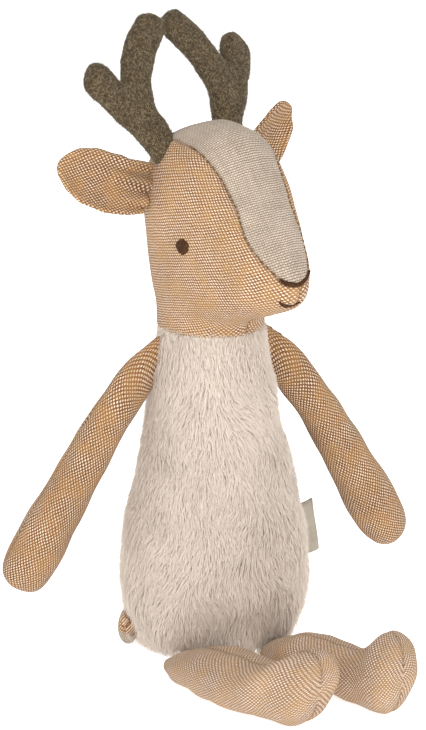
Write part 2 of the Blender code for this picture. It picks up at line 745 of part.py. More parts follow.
def make_arms():
    """Make both arms and return the grooves that their roots swing in."""
    grooves = []
    low = ARM_SEAM_TOP - 2.0 * ARM_SEAM_HALF
    for side, word in ((-1.0, "right"), (1.0, "left")):
        hinge = seam_pivot("arm_" + word + "_pivot", low, ARM_SEAM_TOP, side)
        name = "arm_" + word + "_cover"
        sections = arm_sections(side)
        arm = make_piece(name, loft(name, sections, True, False, True), "tan_cloth", hinge)
        subdivide(arm)
        thicken(arm, CLOTH_WALL)
        name = "arm_" + word + "_filling"
        stuffing(name, arm_sections(side, False)[3:-1], CLOTH_WALL + STUFFING_GAP, hinge)
        groove = rod_mesh(
            "arm_groove",
            ARM_GROOVE,
            -ARM_SEAM_HALF - ARM_RADIUS,
            ARM_SEAM_HALF + SWING_CLEARANCE,
            Vector((0.0, 0.0, 1.0)),
        )
        grooves.append(make_guide("arm_" + word + "_groove", groove, hinge))
    return grooves


def leg_sections(turn, roll, smooth=True):
    """Return a leg's rings in the frame of its hip line, from the flat root to the toe."""
    ahead = Vector((math.sin(turn), -math.cos(turn), 0.0))
    square = Vector((math.cos(turn), math.sin(turn), 0.0))
    lift = Vector((0.0, 0.0, math.cos(roll))) + square * math.sin(roll)
    side = square * math.cos(roll) - Vector((0.0, 0.0, math.sin(roll)))
    flat = Vector((0.0, 0.0, 1.0))
    hip_height = ROOT_HALF_THICKNESS + SEAM_GAP
    root = Vector((LEG_ROOT_HALF, 0.0, 0.0))
    rings = [oval(Vector(), root, flat * ROOT_HALF_THICKNESS, LEG_SIDES, smooth)]
    rows = zip(leg_length_shares, leg_turn_shares, leg_width_shares, leg_depth_shares, leg_shift_shares)
    for along, turned, width, depth, shift in rows:
        deep = LEG_RADIUS * depth
        centre = ahead * LEG_LENGTH * along - square * LEG_RADIUS * shift + flat * (deep - hip_height)
        wide = root.normalized().lerp(square, turned).normalized() * LEG_RADIUS * width
        rings.append(oval(centre, wide, flat * deep, LEG_SIDES, smooth))
    rows = zip(foot_depth_shares, foot_rise_shares, foot_size_shares)
    for depth, rise, size in rows:
        wide = FOOT_RADIUS * size
        tall = (FOOT_RADIUS + (FOOT_LENGTH / 2.0 - FOOT_RADIUS) * rise) * size
        centre = ahead * (LEG_LENGTH + FOOT_DEPTH * depth) + flat * (FOOT_RADIUS - hip_height)
        centre += lift * (FOOT_LENGTH / 2.0 - FOOT_RADIUS) * rise
        turned = side * math.cos(roll) * wide + lift * math.sin(roll) * tall
        upright = lift * math.cos(roll) * tall - side * math.sin(roll) * wide
        rings.append(oval(centre, turned, upright, LEG_SIDES, smooth))
    return rings


def make_legs():
    """Make both legs and return the grooves that their roots swing in."""
    grooves = []
    for side, word, roll in (
        (-1.0, "right", math.radians(RIGHT_FOOT_ROLL)),
        (1.0, "left", math.radians(LEFT_FOOT_ROLL)),
    ):
        place = Vector((side * HIP_HALF_SPACING, -HIP_FORWARD, ROOT_HALF_THICKNESS + SEAM_GAP))
        slant = side * HIP_SLANT
        hinge = make_pivot("leg_" + word + "_pivot", place, Matrix.Rotation(math.radians(slant), 3, "Z"))
        turn = math.radians(LEG_YAW - slant)
        name = "leg_" + word + "_cover"
        sections = leg_sections(turn, roll)
        leg = make_piece(name, loft(name, sections, True, False, True), "pale_cloth", hinge)
        subdivide(leg)
        thicken(leg, CLOTH_WALL)
        name = "leg_" + word + "_filling"
        stuffing(name, leg_sections(turn, roll, False)[3:-1], CLOTH_WALL + LEG_STUFFING_GAP, hinge)
        groove = rod_mesh(
            "leg_groove",
            LEG_GROOVE,
            -LEG_ROOT_HALF - SWING_CLEARANCE,
            LEG_ROOT_HALF + SWING_CLEARANCE,
            Vector((1.0, 0.0, 0.0)),
        )
        grooves.append(make_guide("leg_" + word + "_groove", groove, hinge))
    return grooves


def make_tail():
    """Make the tail's two layers, curled round the body's right side, and return their clearance."""
    first = math.radians(TAIL_ROOT_ANGLE)
    last = math.radians(TAIL_TIP_ANGLE)
    middle = TAIL_HALF_HEIGHT * max(tail_height_shares) + SEAM_GAP
    reach = body_width(middle) - TAIL_SINK

    def spoke(angle):
        return Vector((-math.sin(angle), math.cos(angle), 0.0))

    root = spoke(first) * reach + Vector((0.0, 0.0, middle))
    hinge = make_pivot("tail_pivot", root)
    rings = []
    for share, tall, thick in zip(tail_length_shares, tail_height_shares, tail_thickness_shares):
        outward = spoke(first + (last - first) * share)
        thickness = TAIL_HALF_THICKNESS * thick
        centre = outward * (reach + thickness) + Vector((0.0, 0.0, middle)) - root
        rings.append(
            oval(centre, outward * thickness, Vector((0.0, 0.0, TAIL_HALF_HEIGHT * tall)), TAIL_SIDES)
        )
    far = BODY_RADIUS * 2.0
    for name, kind, low, high in (
        ("tail_top", "tan_cloth", SEAM_GAP / 2.0, far),
        ("tail_underside", "linen", -far, -SEAM_GAP / 2.0),
    ):
        tail = make_piece(name, loft(name, rings, True, True, True), kind, hinge)
        subdivide(tail)
        half = box_mesh(name + "_half", Vector((-far, -far, low)), Vector((far, far, high)))
        cut(tail, make_guide(name + "_half", half, hinge), "INTERSECT")
    clearance = make_guide("tail_clearance", loft("tail_clearance", rings, True, True, True), hinge)
    subdivide(clearance)
    swell_by(clearance, TAIL_CLEARANCE)
    groove = rod_mesh("tail_groove", TAIL_GROOVE, -middle - CUT_OVERRUN, middle, Vector((0.0, 0.0, 1.0)))
    return [clearance, make_guide("tail_groove", groove, hinge)]


def make_label():
    """Make the folded label and return the groove that its sewn edges swing in."""
    low = LABEL_MIDDLE - LABEL_HEIGHT / 2.0
    hinge = seam_pivot("label_pivot", low, low + LABEL_HEIGHT, 1.0)
    inner = SEAM_GAP / 2.0
    outer = inner + LABEL_LEAF
    profile = [
        Vector((0.0, -outer)),
        Vector((LABEL_LENGTH - outer, -outer)),
        Vector((LABEL_LENGTH, 0.0)),
        Vector((LABEL_LENGTH - outer, outer)),
        Vector((0.0, outer)),
        Vector((0.0, inner)),
        Vector((LABEL_LENGTH - outer - inner, inner)),
        Vector((LABEL_LENGTH - outer - inner, -inner)),
        Vector((0.0, -inner)),
    ]
    sections = []
    for height in (-LABEL_HEIGHT / 2.0, LABEL_HEIGHT / 2.0):
        sections.append([Vector((point.x, point.y, height)) for point in profile])
    mesh = loft("side_label", sections, True, True, True)
    mesh.shade_flat()
    make_piece("side_label", mesh, "label", hinge)
    groove = rod_mesh(
        "label_groove",
        outer + SWING_CLEARANCE * 2.0,
        -LABEL_HEIGHT / 2.0 - SWING_CLEARANCE,
        LABEL_HEIGHT / 2.0 + SWING_CLEARANCE,
        Vector((0.0, 0.0, 1.0)),
    )
    return make_guide("label_groove", groove, hinge)


clear_scene()
MODEL = make_collection(NAME)
CUTTERS = make_collection("cutters")
head_pivot = make_pivot(
    "head_pivot",
    Vector((0.0, 0.0, BODY_HEIGHT)),
    Matrix.Rotation(math.radians(HEAD_TURN), 3, "Z"),
)
body_grooves = make_arms() + make_legs() + make_tail() + [make_label()]
make_body(body_grooves)
head_form = make_head(head_pivot, make_ears(head_pivot))
make_antlers(head_pivot, head_form)
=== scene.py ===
"""Dressed scene of a seated plush deer: pile, woven cloth, linen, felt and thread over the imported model.

Every length is in metres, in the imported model's own frame: the deer faces -Y, its left side is at +X and it
sits on the plane Z = 0. Each sub-assembly is a class that holds its sizes, builds its meshes and dresses them.
"""

from __future__ import annotations

import logging
import math
from dataclasses import dataclass
from enum import Enum

import bmesh
import bpy
import numpy as np
from mathutils import Matrix, Vector, kdtree, noise
from mathutils.bvhtree import BVHTree

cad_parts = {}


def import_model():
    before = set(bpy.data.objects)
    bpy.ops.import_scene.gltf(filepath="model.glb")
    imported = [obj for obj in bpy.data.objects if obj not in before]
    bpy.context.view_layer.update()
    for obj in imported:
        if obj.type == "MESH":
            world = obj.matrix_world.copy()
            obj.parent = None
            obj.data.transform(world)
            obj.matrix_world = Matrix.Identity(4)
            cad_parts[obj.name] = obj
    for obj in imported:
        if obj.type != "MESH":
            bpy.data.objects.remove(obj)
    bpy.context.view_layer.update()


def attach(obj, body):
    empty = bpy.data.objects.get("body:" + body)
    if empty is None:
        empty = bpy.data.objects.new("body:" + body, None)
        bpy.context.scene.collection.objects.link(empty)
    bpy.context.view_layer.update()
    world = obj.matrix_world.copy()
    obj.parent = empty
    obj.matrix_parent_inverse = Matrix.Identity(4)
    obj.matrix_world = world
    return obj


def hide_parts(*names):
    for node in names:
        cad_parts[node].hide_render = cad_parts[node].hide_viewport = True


LOG = logging.getLogger("plush_deer")
MM = 0.001
UP = Vector((0.0, 0.0, 1.0))
AHEAD = Vector((0.0, -1.0, 0.0))
Triple = tuple[float, float, float]
Table = tuple[float, ...]
Colour = tuple[float, float, float]
Socket = bpy.types.NodeSocket
Shader = bpy.types.Node
Piece = bpy.types.Object
Mesh = bmesh.types.BMesh
# Painted shade in the hollows between yarns.
GAP_SHADE_COLOUR: Colour = (0.07, 0.032, 0.012)
# Painted shade along drawn-in seams and creases.
SEAM_SHADE_COLOUR: Colour = (0.16, 0.085, 0.035)
# How the sight of a yarn's back is shaped across and along it, and how far the rows stray.
YARN_POWERS = (0.45, 0.95)
DRIFT_SCALES = (150.0, 330.0)
DRIFT_PITCHES = (1.1, 0.9)
DRIFT_SHIFTS = ((9.3, -1.5, -8.0), (0.0, 0.0, 0.0), (6.3, 0.2, -2.7))
# A strand's three lengths, as shares, with the width that each narrows to.
STRAND_STEPS = ((0.36, 0.95), (0.36, 0.62), (0.28, 0.0))
# The area over which one piece of pile is thought to spread when its tufts are counted.
CLUMP_AREA = 4.0 * math.pi * (40.0 * MM) * (30.0 * MM)
# What makes one sorting number of a place.
SORT_WEIGHTS = (1.0, 37.13, 1009.7)
SEAM_SHADE_REACH = 0.7 * MM
SEAM_DRAWN_REACH = 2.2 * MM


class Side(Enum):
    """The deer's own sides, by the sign of X."""

    RIGHT = -1.0
    LEFT = 1.0

    @property
    def word(self) -> str:
        """Return the side's word in a piece's name."""
        return self.name.lower()


# --------------------------------------------------------------------------- shader building


class Graph:
    """Adds nodes to one node tree, each call making a node and linking it."""

    def __init__(self, tree: bpy.types.NodeTree) -> None:
        """Keep the tree."""
        self.tree = tree

    def node(self, kind: str, **settings: object) -> Shader:
        """Return a new node with its settings made."""
        made = self.tree.nodes.new(kind)
        for name, value in settings.items():
            setattr(made, name, value)
        return made

    def feed(self, socket: Socket, value: object) -> None:
        """Link a socket to another, or give it a value."""
        if isinstance(value, Socket):
            self.tree.links.new(value, socket)
        elif value is not None:
            if isinstance(value, tuple) and len(value) == 3 and socket.type == "RGBA":
                value = (*value, 1.0)
            socket.default_value = value

    def math(self, operation: str, *values: object, clamp: bool = False) -> Socket:
        """Return the result of a Math node."""
        made = self.node("ShaderNodeMath", operation=operation, use_clamp=clamp)
        for socket, value in zip(made.inputs, values):
            self.feed(socket, value)
        return made.outputs[0]

    def add(self, *values: object) -> Socket:
        """Return a sum."""
        return self.math("ADD", *values)

    def minus(self, *values: object) -> Socket:
        """Return a difference."""
        return self.math("SUBTRACT", *values)

    def times(self, *values: object, clamp: bool = False) -> Socket:
        """Return a product."""
        return self.math("MULTIPLY", *values, clamp=clamp)

    def place(self) -> Socket:
        """Return the place on the piece, in its own coordinates."""
        return self.node("ShaderNodeTexCoord").outputs["Object"]

    def attribute(self, name: str) -> Socket:
        """Return a number stored on the mesh."""
        return self.node("ShaderNodeAttribute", attribute_name=name).outputs["Fac"]

    def shared(self, group: bpy.types.NodeTree, values: dict[str, object]) -> Shader:
        """Return a node for a shared group with its inputs fed."""
        made = self.node("ShaderNodeGroup", node_tree=group)
        for name, value in values.items():
            self.feed(made.inputs[name], value)
        return made

    def span(self, value: object, low: float, high: float, start: float = 0.0,
             end: float = 1.0) -> Socket:
        """Return a value carried smoothly from one range to another."""
        made = self.node("ShaderNodeMapRange", interpolation_type="SMOOTHSTEP")
        for socket, item in zip(made.inputs, (value, low, high, start, end)):
            self.feed(socket, item)
        return made.outputs[0]

    def mix(self, factor: object, first: object, second: object, blend: str = "MIX") -> Socket:
        """Return a blend of two colours."""
        made = self.node("ShaderNodeMix", data_type="RGBA", blend_type=blend)
        self.feed(made.inputs[0], factor)
        self.feed(made.inputs[6], first)
        self.feed(made.inputs[7], second)
        return made.outputs[2]

    def stretch(self, vector: object, scale: Triple) -> Socket:
        """Return a vector scaled by a Mapping node."""
        made = self.node("ShaderNodeMapping", vector_type="POINT")
        self.feed(made.inputs["Vector"], vector)
        self.feed(made.inputs["Scale"], scale)
        return made.outputs[0]

    def noise(self, vector: object, scale: float, detail: float = 2.0, rough: float = 0.5) -> Socket:
        """Return the value of a Noise Texture."""
        made = self.node("ShaderNodeTexNoise")
        self.feed(made.inputs["Vector"], vector)
        for name, value in (("Scale", scale), ("Detail", detail), ("Roughness", rough)):
            self.feed(made.inputs[name], value)
        return made.outputs["Fac"]


def new_group(name: str, inputs: dict[str, str],
              outputs: dict[str, str]) -> tuple[bpy.types.NodeTree, Graph, dict, dict]:
    """Return an empty shader group with its sockets made."""
    group = bpy.data.node_groups.new(name, "ShaderNodeTree")
    for way, sockets in (("INPUT", inputs), ("OUTPUT", outputs)):
        for label, kind in sockets.items():
            group.interface.new_socket(label, in_out=way, socket_type="NodeSocket" + kind)
    graph = Graph(group)
    ins = graph.node("NodeGroupInput").outputs
    outs = graph.node("NodeGroupOutput").inputs
    return group, graph, {n: ins[n] for n in inputs}, {n: outs[n] for n in outputs}


def weave_group() -> bpy.types.NodeTree:
    """Return the group for plain-woven cloth: two yarns that pass over and under each other."""
    group, graph, ins, outs = new_group(
        "plain weave",
        {"Vector": "Vector", "Pitch U": "Float", "Pitch V": "Float", "Ground": "Color", "Second Ground": "Color",
         "Fleck": "Color", "Tint": "Color", "Fleck Size": "Float", "Gap": "Float"},
        {"Color": "Color", "Height": "Float"},
    )
    parts = graph.node("ShaderNodeSeparateXYZ")
    graph.feed(parts.inputs[0], ins["Vector"])
    drift = graph.noise(ins["Vector"], DRIFT_SCALES[0], 1.0)
    sway = graph.noise(graph.stretch(ins["Vector"], (-1.0, 1.0, 1.0)), DRIFT_SCALES[1], 1.0)
    u = graph.math("DIVIDE", parts.outputs[0], ins["Pitch U"])
    u = graph.add(u, graph.times(drift, DRIFT_PITCHES[0]))
    v = graph.math("DIVIDE", parts.outputs[1], ins["Pitch V"])
    v = graph.add(v, graph.times(sway, DRIFT_PITCHES[1]))
    across = graph.math("SINE", graph.times(graph.math("FRACT", u), math.pi))
    along = graph.math("SINE", graph.times(graph.math("FRACT", v), math.pi))
    column, row = graph.math("FLOOR", u), graph.math("FLOOR", v)
    over = graph.math("PINGPONG", graph.add(column, row), 1.0)
    cell = graph.node("ShaderNodeCombineXYZ")
    graph.feed(cell.inputs[0], column)
    graph.feed(cell.inputs[1], row)
    chance = graph.node("ShaderNodeTexWhiteNoise", noise_dimensions="2D")
    graph.feed(chance.inputs["Vector"], cell.outputs[0])
    dome = graph.times(graph.math("POWER", across, YARN_POWERS[0]), graph.math("POWER", along, YARN_POWERS[1]))
    edge = graph.minus(1.0, ins["Fleck Size"])
    edge = graph.add(edge, graph.times(chance.outputs["Value"], 0.22))
    fleck = graph.times(over, graph.times(graph.minus(dome, edge), 4.0, clamp=True))
    slub = graph.noise(graph.stretch(ins["Vector"], (90.0, 700.0, 1.0)), 1.0, 3.0, 0.6)
    slub_two = graph.noise(graph.stretch(ins["Vector"], (700.0, 80.0, 1.0)), 1.0, 3.0, 0.6)
    patch = graph.noise(ins["Vector"], 95.0, 3.0, 0.6)
    rich = graph.add(graph.add(slub, slub_two), graph.times(patch, 1.2))
    ground = graph.mix(graph.span(rich, 1.38, 1.85), ins["Ground"], ins["Second Ground"])
    faded = graph.times(fleck, graph.span(graph.add(slub_two, patch), 0.75, 1.2, 1.0, 0.65))
    tinted = graph.mix(1.0, ins["Fleck"], ins["Tint"], "MULTIPLY")
    pale = graph.mix(graph.span(graph.add(slub, patch), 0.90, 1.25), ins["Fleck"], tinted)
    colour = graph.mix(faded, ground, pale)
    # Painted shade: the cloth is darkened where the yarns dip, in the hollows between them.
    gap_shade = graph.times(graph.span(dome, 0.0, 0.45, 1.0, 0.0), ins["Gap"])
    graph.feed(outs["Color"], graph.mix(gap_shade, colour, GAP_SHADE_COLOUR))
    height = graph.times(dome, graph.math("MULTIPLY_ADD", over, 0.45, 0.55))
    graph.feed(outs["Height"], height)
    return group


def mottle_group() -> bpy.types.NodeTree:
    """Return the group for slow tone changes over any surface, on the piece's own coordinates."""
    group, graph, ins, outs = new_group(
        "mottle",
        {"Color": "Color", "Scale": "Float", "Amount": "Float"},
        {"Color": "Color"},
    )
    level = graph.times(graph.minus(graph.noise(graph.place(), ins["Scale"], 3.0), 0.5), ins["Amount"])
    lit = graph.add(graph.times(level, 2.0), 1.0)
    tone = graph.node("ShaderNodeCombineXYZ")
    for socket in tone.inputs:
        graph.feed(socket, lit)
    graph.feed(outs["Color"], graph.mix(1.0, ins["Color"], tone.outputs[0], "MULTIPLY"))
    return group


class Groups:
    """The shader groups that more than one material uses, each built once."""

    def __init__(self) -> None:
        """Build the groups."""
        self.weave = weave_group()
        self.mottle = mottle_group()


# --------------------------------------------------------------------------- finishes


@dataclass(frozen=True)
class Finish:
    """What every finish has: roughness and the soft glow of cloth at a grazing angle."""

    name: str
    roughness: float = 0.9
    sheen: float = 0.06

    def start(self) -> tuple[bpy.types.Material, Graph, Shader]:
        """Return a material with its shader set for cloth."""
        made = bpy.data.materials.new(self.name)
        made.use_nodes = True
        shader = made.node_tree.nodes["Principled BSDF"]
        shader.inputs["Roughness"].default_value = self.roughness
        shader.inputs["Sheen Weight"].default_value = self.sheen
        shader.inputs["Sheen Roughness"].default_value = 0.6
        shader.inputs["Specular IOR Level"].default_value = 0.2
        return made, Graph(made.node_tree), shader

    def paint(self, graph: Graph, groups: Groups, shader: Shader) -> Socket:
        """Return the finish's colour and give the shader its bump."""
        raise NotImplementedError

    def build(self, groups: Groups) -> bpy.types.Material:
        """Return the material."""
        made, graph, shader = self.start()
        graph.feed(shader.inputs["Base Color"], self.paint(graph, groups, shader))
        return made

    @staticmethod
    def mottled(graph: Graph, groups: Groups, colour: object, scale: float, amount: float) -> Socket:
        """Return a colour with slow tone changes."""
        return graph.shared(groups.mottle, {"Color": colour, "Scale": scale, "Amount": amount}).outputs[0]

    @staticmethod
    def raised(graph: Graph, shader: Shader, height: object, distance: float, strength: float = 1.0) -> None:
        """Give the shader a bump."""
        bump = graph.node("ShaderNodeBump")
        bump.inputs["Distance"].default_value = distance
        bump.inputs["Strength"].default_value = strength
        graph.feed(bump.inputs["Height"], height)
        graph.feed(shader.inputs["Normal"], bump.outputs[0])


@dataclass(frozen=True)
class Woven(Finish):
    """Plain-woven cloth of a coloured ground yarn and a pale yarn."""

    pitch: tuple[float, float] = (0.90 * MM, 0.66 * MM)
    ground: Colour = (0.215, 0.092, 0.032)
    second: Colour = (0.32, 0.165, 0.058)
    fleck: Colour = (0.78, 0.635, 0.49)
    tint: Colour = (0.94, 0.87, 0.75)
    fleck_size: float = 0.88
    # How strongly painted shade darkens the hollows between yarns.
    gap: float = 0.35
    # How strongly painted shade darkens the cloth along seams and creases.
    seam_shade_amount: float = 0.5

    def paint(self, graph: Graph, groups: Groups, shader: Shader) -> Socket:
        """Return the colour and give the shader its bump."""
        weave = graph.shared(groups.weave, {
            "Vector": graph.node("ShaderNodeUVMap", uv_map="cloth").outputs[0], "Pitch U": self.pitch[0],
            "Pitch V": self.pitch[1], "Ground": self.ground, "Second Ground": self.second, "Fleck": self.fleck,
            "Tint": self.tint, "Fleck Size": self.fleck_size, "Gap": self.gap})
        colour = self.mottled(graph, groups, weave.outputs["Color"], 45.0, 0.22)
        self.raised(graph, shader, weave.outputs["Height"], min(self.pitch) * 0.45, 0.8)
        # Painted shade: the cloth is darkened where the seam layer marks a drawn-in seam or the ear's crease.
        return graph.mix(graph.times(graph.attribute("seam"), self.seam_shade_amount), colour, SEAM_SHADE_COLOUR)


@dataclass(frozen=True)
class Felt(Finish):
    """Wool felt with paler hairs pressed into it."""

    colour: Colour = (0.048, 0.031, 0.014)
    hair: Colour = (0.23, 0.17, 0.095)
    # The colour of the painted shade in the felt's pits.
    pit_shade_colour: Colour = (0.022, 0.014, 0.007)
    fine: float = 2200.0
    finer: float = 2400.0
    coarse: float = 420.0
    pit_scale: float = 520.0
    grain_scale: float = 1500.0

    def paint(self, graph: Graph, groups: Groups, shader: Shader) -> Socket:
        """Return the colour and give the shader its bump."""
        place = graph.place()
        bent = graph.node("ShaderNodeVectorMath", operation="MULTIPLY_ADD")
        swirl = graph.node("ShaderNodeTexNoise")
        graph.feed(swirl.inputs["Vector"], place)
        graph.feed(swirl.inputs["Scale"], 90.0)
        graph.feed(bent.inputs[0], swirl.outputs["Color"])
        graph.feed(bent.inputs[1], (0.02, 0.02, 0.02))
        graph.feed(bent.inputs[2], place)
        stretches = (self.fine, self.coarse, self.coarse), (self.coarse, self.coarse, self.finer)
        first, second = (graph.noise(graph.stretch(bent.outputs[0], scale), 1.0, 2.0, 0.6) for scale in stretches)
        hairs = graph.math("MAXIMUM", graph.span(first, 0.56, 0.70), graph.span(second, 0.56, 0.70))
        colour = graph.mix(graph.times(hairs, 0.7), self.colour, self.hair)
        # Painted shade in the felt's pits.
        pit_shade = graph.span(graph.noise(place, self.pit_scale), 0.30, 0.44, 0.75, 0.0)
        colour = graph.mix(pit_shade, colour, self.pit_shade_colour)
        grain = graph.noise(place, self.grain_scale, 3.0, 0.7)
        self.raised(graph, shader, graph.add(grain, hairs), 0.25 * MM, 0.8)
        return self.mottled(graph, groups, colour, 120.0, 0.5)


@dataclass(frozen=True)
class Hair(Finish):
    """Strands that are darker and warmer at the root, as painted shade deep in the pile, for pile and loose fibres.
    """

    # The darker, warmer root colour is painted shade deep in the pile.
    root: Colour = (0.62, 0.505, 0.41)
    tip: Colour = (0.745, 0.64, 0.548)
    change: float = 0.25

    def paint(self, graph: Graph, groups: Groups, shader: Shader) -> Socket:
        """Return the colour and give the shader its bump."""
        # Painted shade: each strand darkens towards its root, where the pile shades itself.
        colour = graph.mix(graph.span(graph.attribute("depth"), 0.0, 0.75), self.root, self.tip)
        # Strands with a high tone lean towards the root colour: partly a random tone, partly painted shade at the
        # edges of tufts.
        colour = graph.mix(graph.times(graph.attribute("tone"), self.change), colour, self.root)
        return self.mottled(graph, groups, colour, 60.0, 0.10)


@dataclass(frozen=True)
class Thread(Finish):
    """Embroidery thread, dark, with a painted highlight on its twists."""

    colour: Colour = (0.036, 0.014, 0.004)
    # The colour of the painted highlight where the ply lies high.
    light: Colour = (0.11, 0.05, 0.02)
    sheen: float = 0.0

    def paint(self, graph: Graph, groups: Groups, shader: Shader) -> Socket:
        """Return the colour and give the shader its bump."""
        ply = graph.noise(graph.place(), 2600.0, 2.0, 0.6)
        self.raised(graph, shader, ply, 0.15 * MM)
        # Painted highlight: the thread is lighter where the ply's bumps lie high.
        colour = graph.mix(graph.span(ply, 0.42, 0.68), self.colour, self.light)
        return self.mottled(graph, groups, colour, 300.0, 0.3)


# --------------------------------------------------------------------------- mesh building


@dataclass
class Ring:
    """One oval section of a sleeve."""

    centre: Vector
    across: Vector
    upward: Vector

    def matrix(self) -> Matrix:
        """Return the matrix that carries a unit circle to the ring."""
        normal = self.across.cross(self.upward).normalized()
        made = Matrix((self.across, self.upward, normal)).transposed().to_4x4()
        made.translation = self.centre
        return made


def swell(sides: int) -> float:
    """Return the factor that keeps a cage ring's radius under Subdivision Surface."""
    return 3.0 / (2.0 + math.cos(2.0 * math.pi / sides))


def extrude(bm: Mesh, edges: list[bmesh.types.BMEdge]) -> tuple[list, list]:
    """Extrude edges and return the new vertices and the new outer edges."""
    grown = bmesh.ops.extrude_edge_only(bm, edges=edges)["geom"]
    verts = [item for item in grown if isinstance(item, bmesh.types.BMVert)]
    return verts, [e for e in grown if isinstance(e, bmesh.types.BMEdge) and all(v in verts for v in e.verts)]


def modify(piece: Piece, kind: str, **settings: object) -> Piece:
    """Add a modifier with its settings made, and return the piece."""
    made = piece.modifiers.new(kind.lower(), kind)
    for name, value in settings.items():
        setattr(made, name, value)
    return piece


def grow_sleeve(rings: list[Ring], sides: int, cap_first: bool, cap_last: bool, seam: float = 0.0) -> Mesh:
    """Return a tube extruded through rings, with a UV map in metres for two panels that meet at two seams.

    Args:
        rings: The sections, in order.
        sides: How many sides the tube has.
        cap_first: Whether the first end is closed.
        cap_last: Whether the last end is closed.
        seam: Where the first seam lies, as a share of a turn; the second lies opposite.

    Returns:
        The bmesh, whose UV map is named cloth. Its layers turn_x and turn_y hold the place round the tube.
    """
    bm = bmesh.new()
    start = rings[0].matrix()
    bmesh.ops.create_circle(bm, cap_ends=False, segments=sides, radius=swell(sides), matrix=start)
    cosine, sine = bm.verts.layers.float.new("turn_x"), bm.verts.layers.float.new("turn_y")
    along, girth = bm.verts.layers.float.new("along"), bm.verts.layers.float.new("girth")
    home = start.inverted()
    for vert in bm.verts:
        local = (home @ vert.co).normalized()
        vert[cosine], vert[sine] = local.x, local.y
        vert[girth] = math.pi * (rings[0].across.length + rings[0].upward.length)
    edges = bm.edges[:]
    ends = [edges[:]]
    run = 0.0
    for before, after in zip(rings, rings[1:]):
        verts, edges = extrude(bm, edges)
        bmesh.ops.transform(bm, matrix=after.matrix() @ before.matrix().inverted(), verts=verts)
        narrowing = before.upward.length - after.upward.length
        run += math.hypot((after.centre - before.centre).length, narrowing)
        for vert in verts:
            vert[along] = run
            vert[girth] = math.pi * (after.across.length + after.upward.length)
    ends.append(edges)
    for wanted, loop, way, ring in ((cap_first, ends[0], -1.0, rings[0]), (cap_last, ends[1], 1.0, rings[-1])):
        if wanted:
            cap = bmesh.ops.contextual_create(bm, geom=loop)["faces"]
            middle = bmesh.ops.poke(bm, faces=cap)["verts"][0]
            middle[girth] = 0.0
            middle[along] = (run if way > 0.0 else 0.0) + way * ring.upward.length
    bmesh.ops.recalc_face_normals(bm, faces=bm.faces)
    cloth = bm.loops.layers.uv.new("cloth")
    for face in bm.faces:
        for loop in face.loops:
            vert = loop.vert
            turn = (math.atan2(vert[sine], vert[cosine]) / (2.0 * math.pi) - seam + 1e-6) % 1.0
            panel = turn - 0.25 if turn <= 0.5 else 0.75 - turn
            loop[cloth].uv = (vert[along], panel * vert[girth])
    return bm


def make_piece(name: str, bm: Mesh, matrix: Matrix | None = None) -> Piece:
    """Link a bmesh as a piece whose object sits at the origin."""
    if matrix is not None:
        bmesh.ops.transform(bm, matrix=matrix, verts=bm.verts)
    mesh = bpy.data.meshes.new(name)
    bm.to_mesh(mesh)
    bm.free()
    mesh.shade_smooth()
    piece = bpy.data.objects.new(name, mesh)
    bpy.context.scene.collection.objects.link(piece)
    return piece


def subdivide(piece: Piece, levels: int) -> Piece:
    """Round a piece's cage and keep the result in its mesh."""
    return settle(modify(piece, "SUBSURF", levels=levels, render_levels=levels))


def settle(piece: Piece) -> Piece:
    """Keep the result of a piece's modifiers in its mesh."""
    graph = bpy.context.evaluated_depsgraph_get()
    done = piece.evaluated_get(graph)
    mesh = bpy.data.meshes.new_from_object(done, preserve_all_data_layers=True, depsgraph=graph)
    mesh.name = piece.name
    piece.modifiers.clear()
    piece.data = mesh
    return piece


def sculpt(piece: Piece, lift: object) -> Piece:
    """Move each vertex along its normal by what a function gives for it."""
    verts = piece.data.vertices
    return raise_by(piece, [lift(v.co, v.normal) for v in verts])


def raise_by(piece: Piece, lifts: list[float]) -> Piece:
    """Move each vertex along its normal by its own amount, and return the piece."""
    mesh = piece.data
    moved = [vert.co + vert.normal * lift for vert, lift in zip(mesh.vertices, lifts)]
    for vert, point in zip(mesh.vertices, moved):
        vert.co = point
    mesh.update()
    return piece


def ripple(point: Vector, pitch: float, height: float, seed: float = 0.0) -> float:
    """Return a smooth random lift at a point."""
    return height * noise.noise(point / pitch + Vector((seed, -seed, seed * 0.5)))


def drift(spot: Vector) -> list[float]:
    """Return three numbers from -1 to 1 that change smoothly from place to place, the same on each run."""
    return [noise.noise(spot + Vector(shift)) for shift in DRIFT_SHIFTS]


def publish(piece: Piece, body: str, slot: str, material: bpy.types.Material, *nodes: str) -> None:
    """Dress a piece, set it on its body and hide the CAD nodes that it stands for."""
    piece.data.materials.clear()
    piece.data.materials.append(material)
    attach(piece, body)
    if nodes:
        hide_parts(*nodes)
    LOG.info("%s: %d faces on %s", piece.name, len(piece.data.polygons), body)


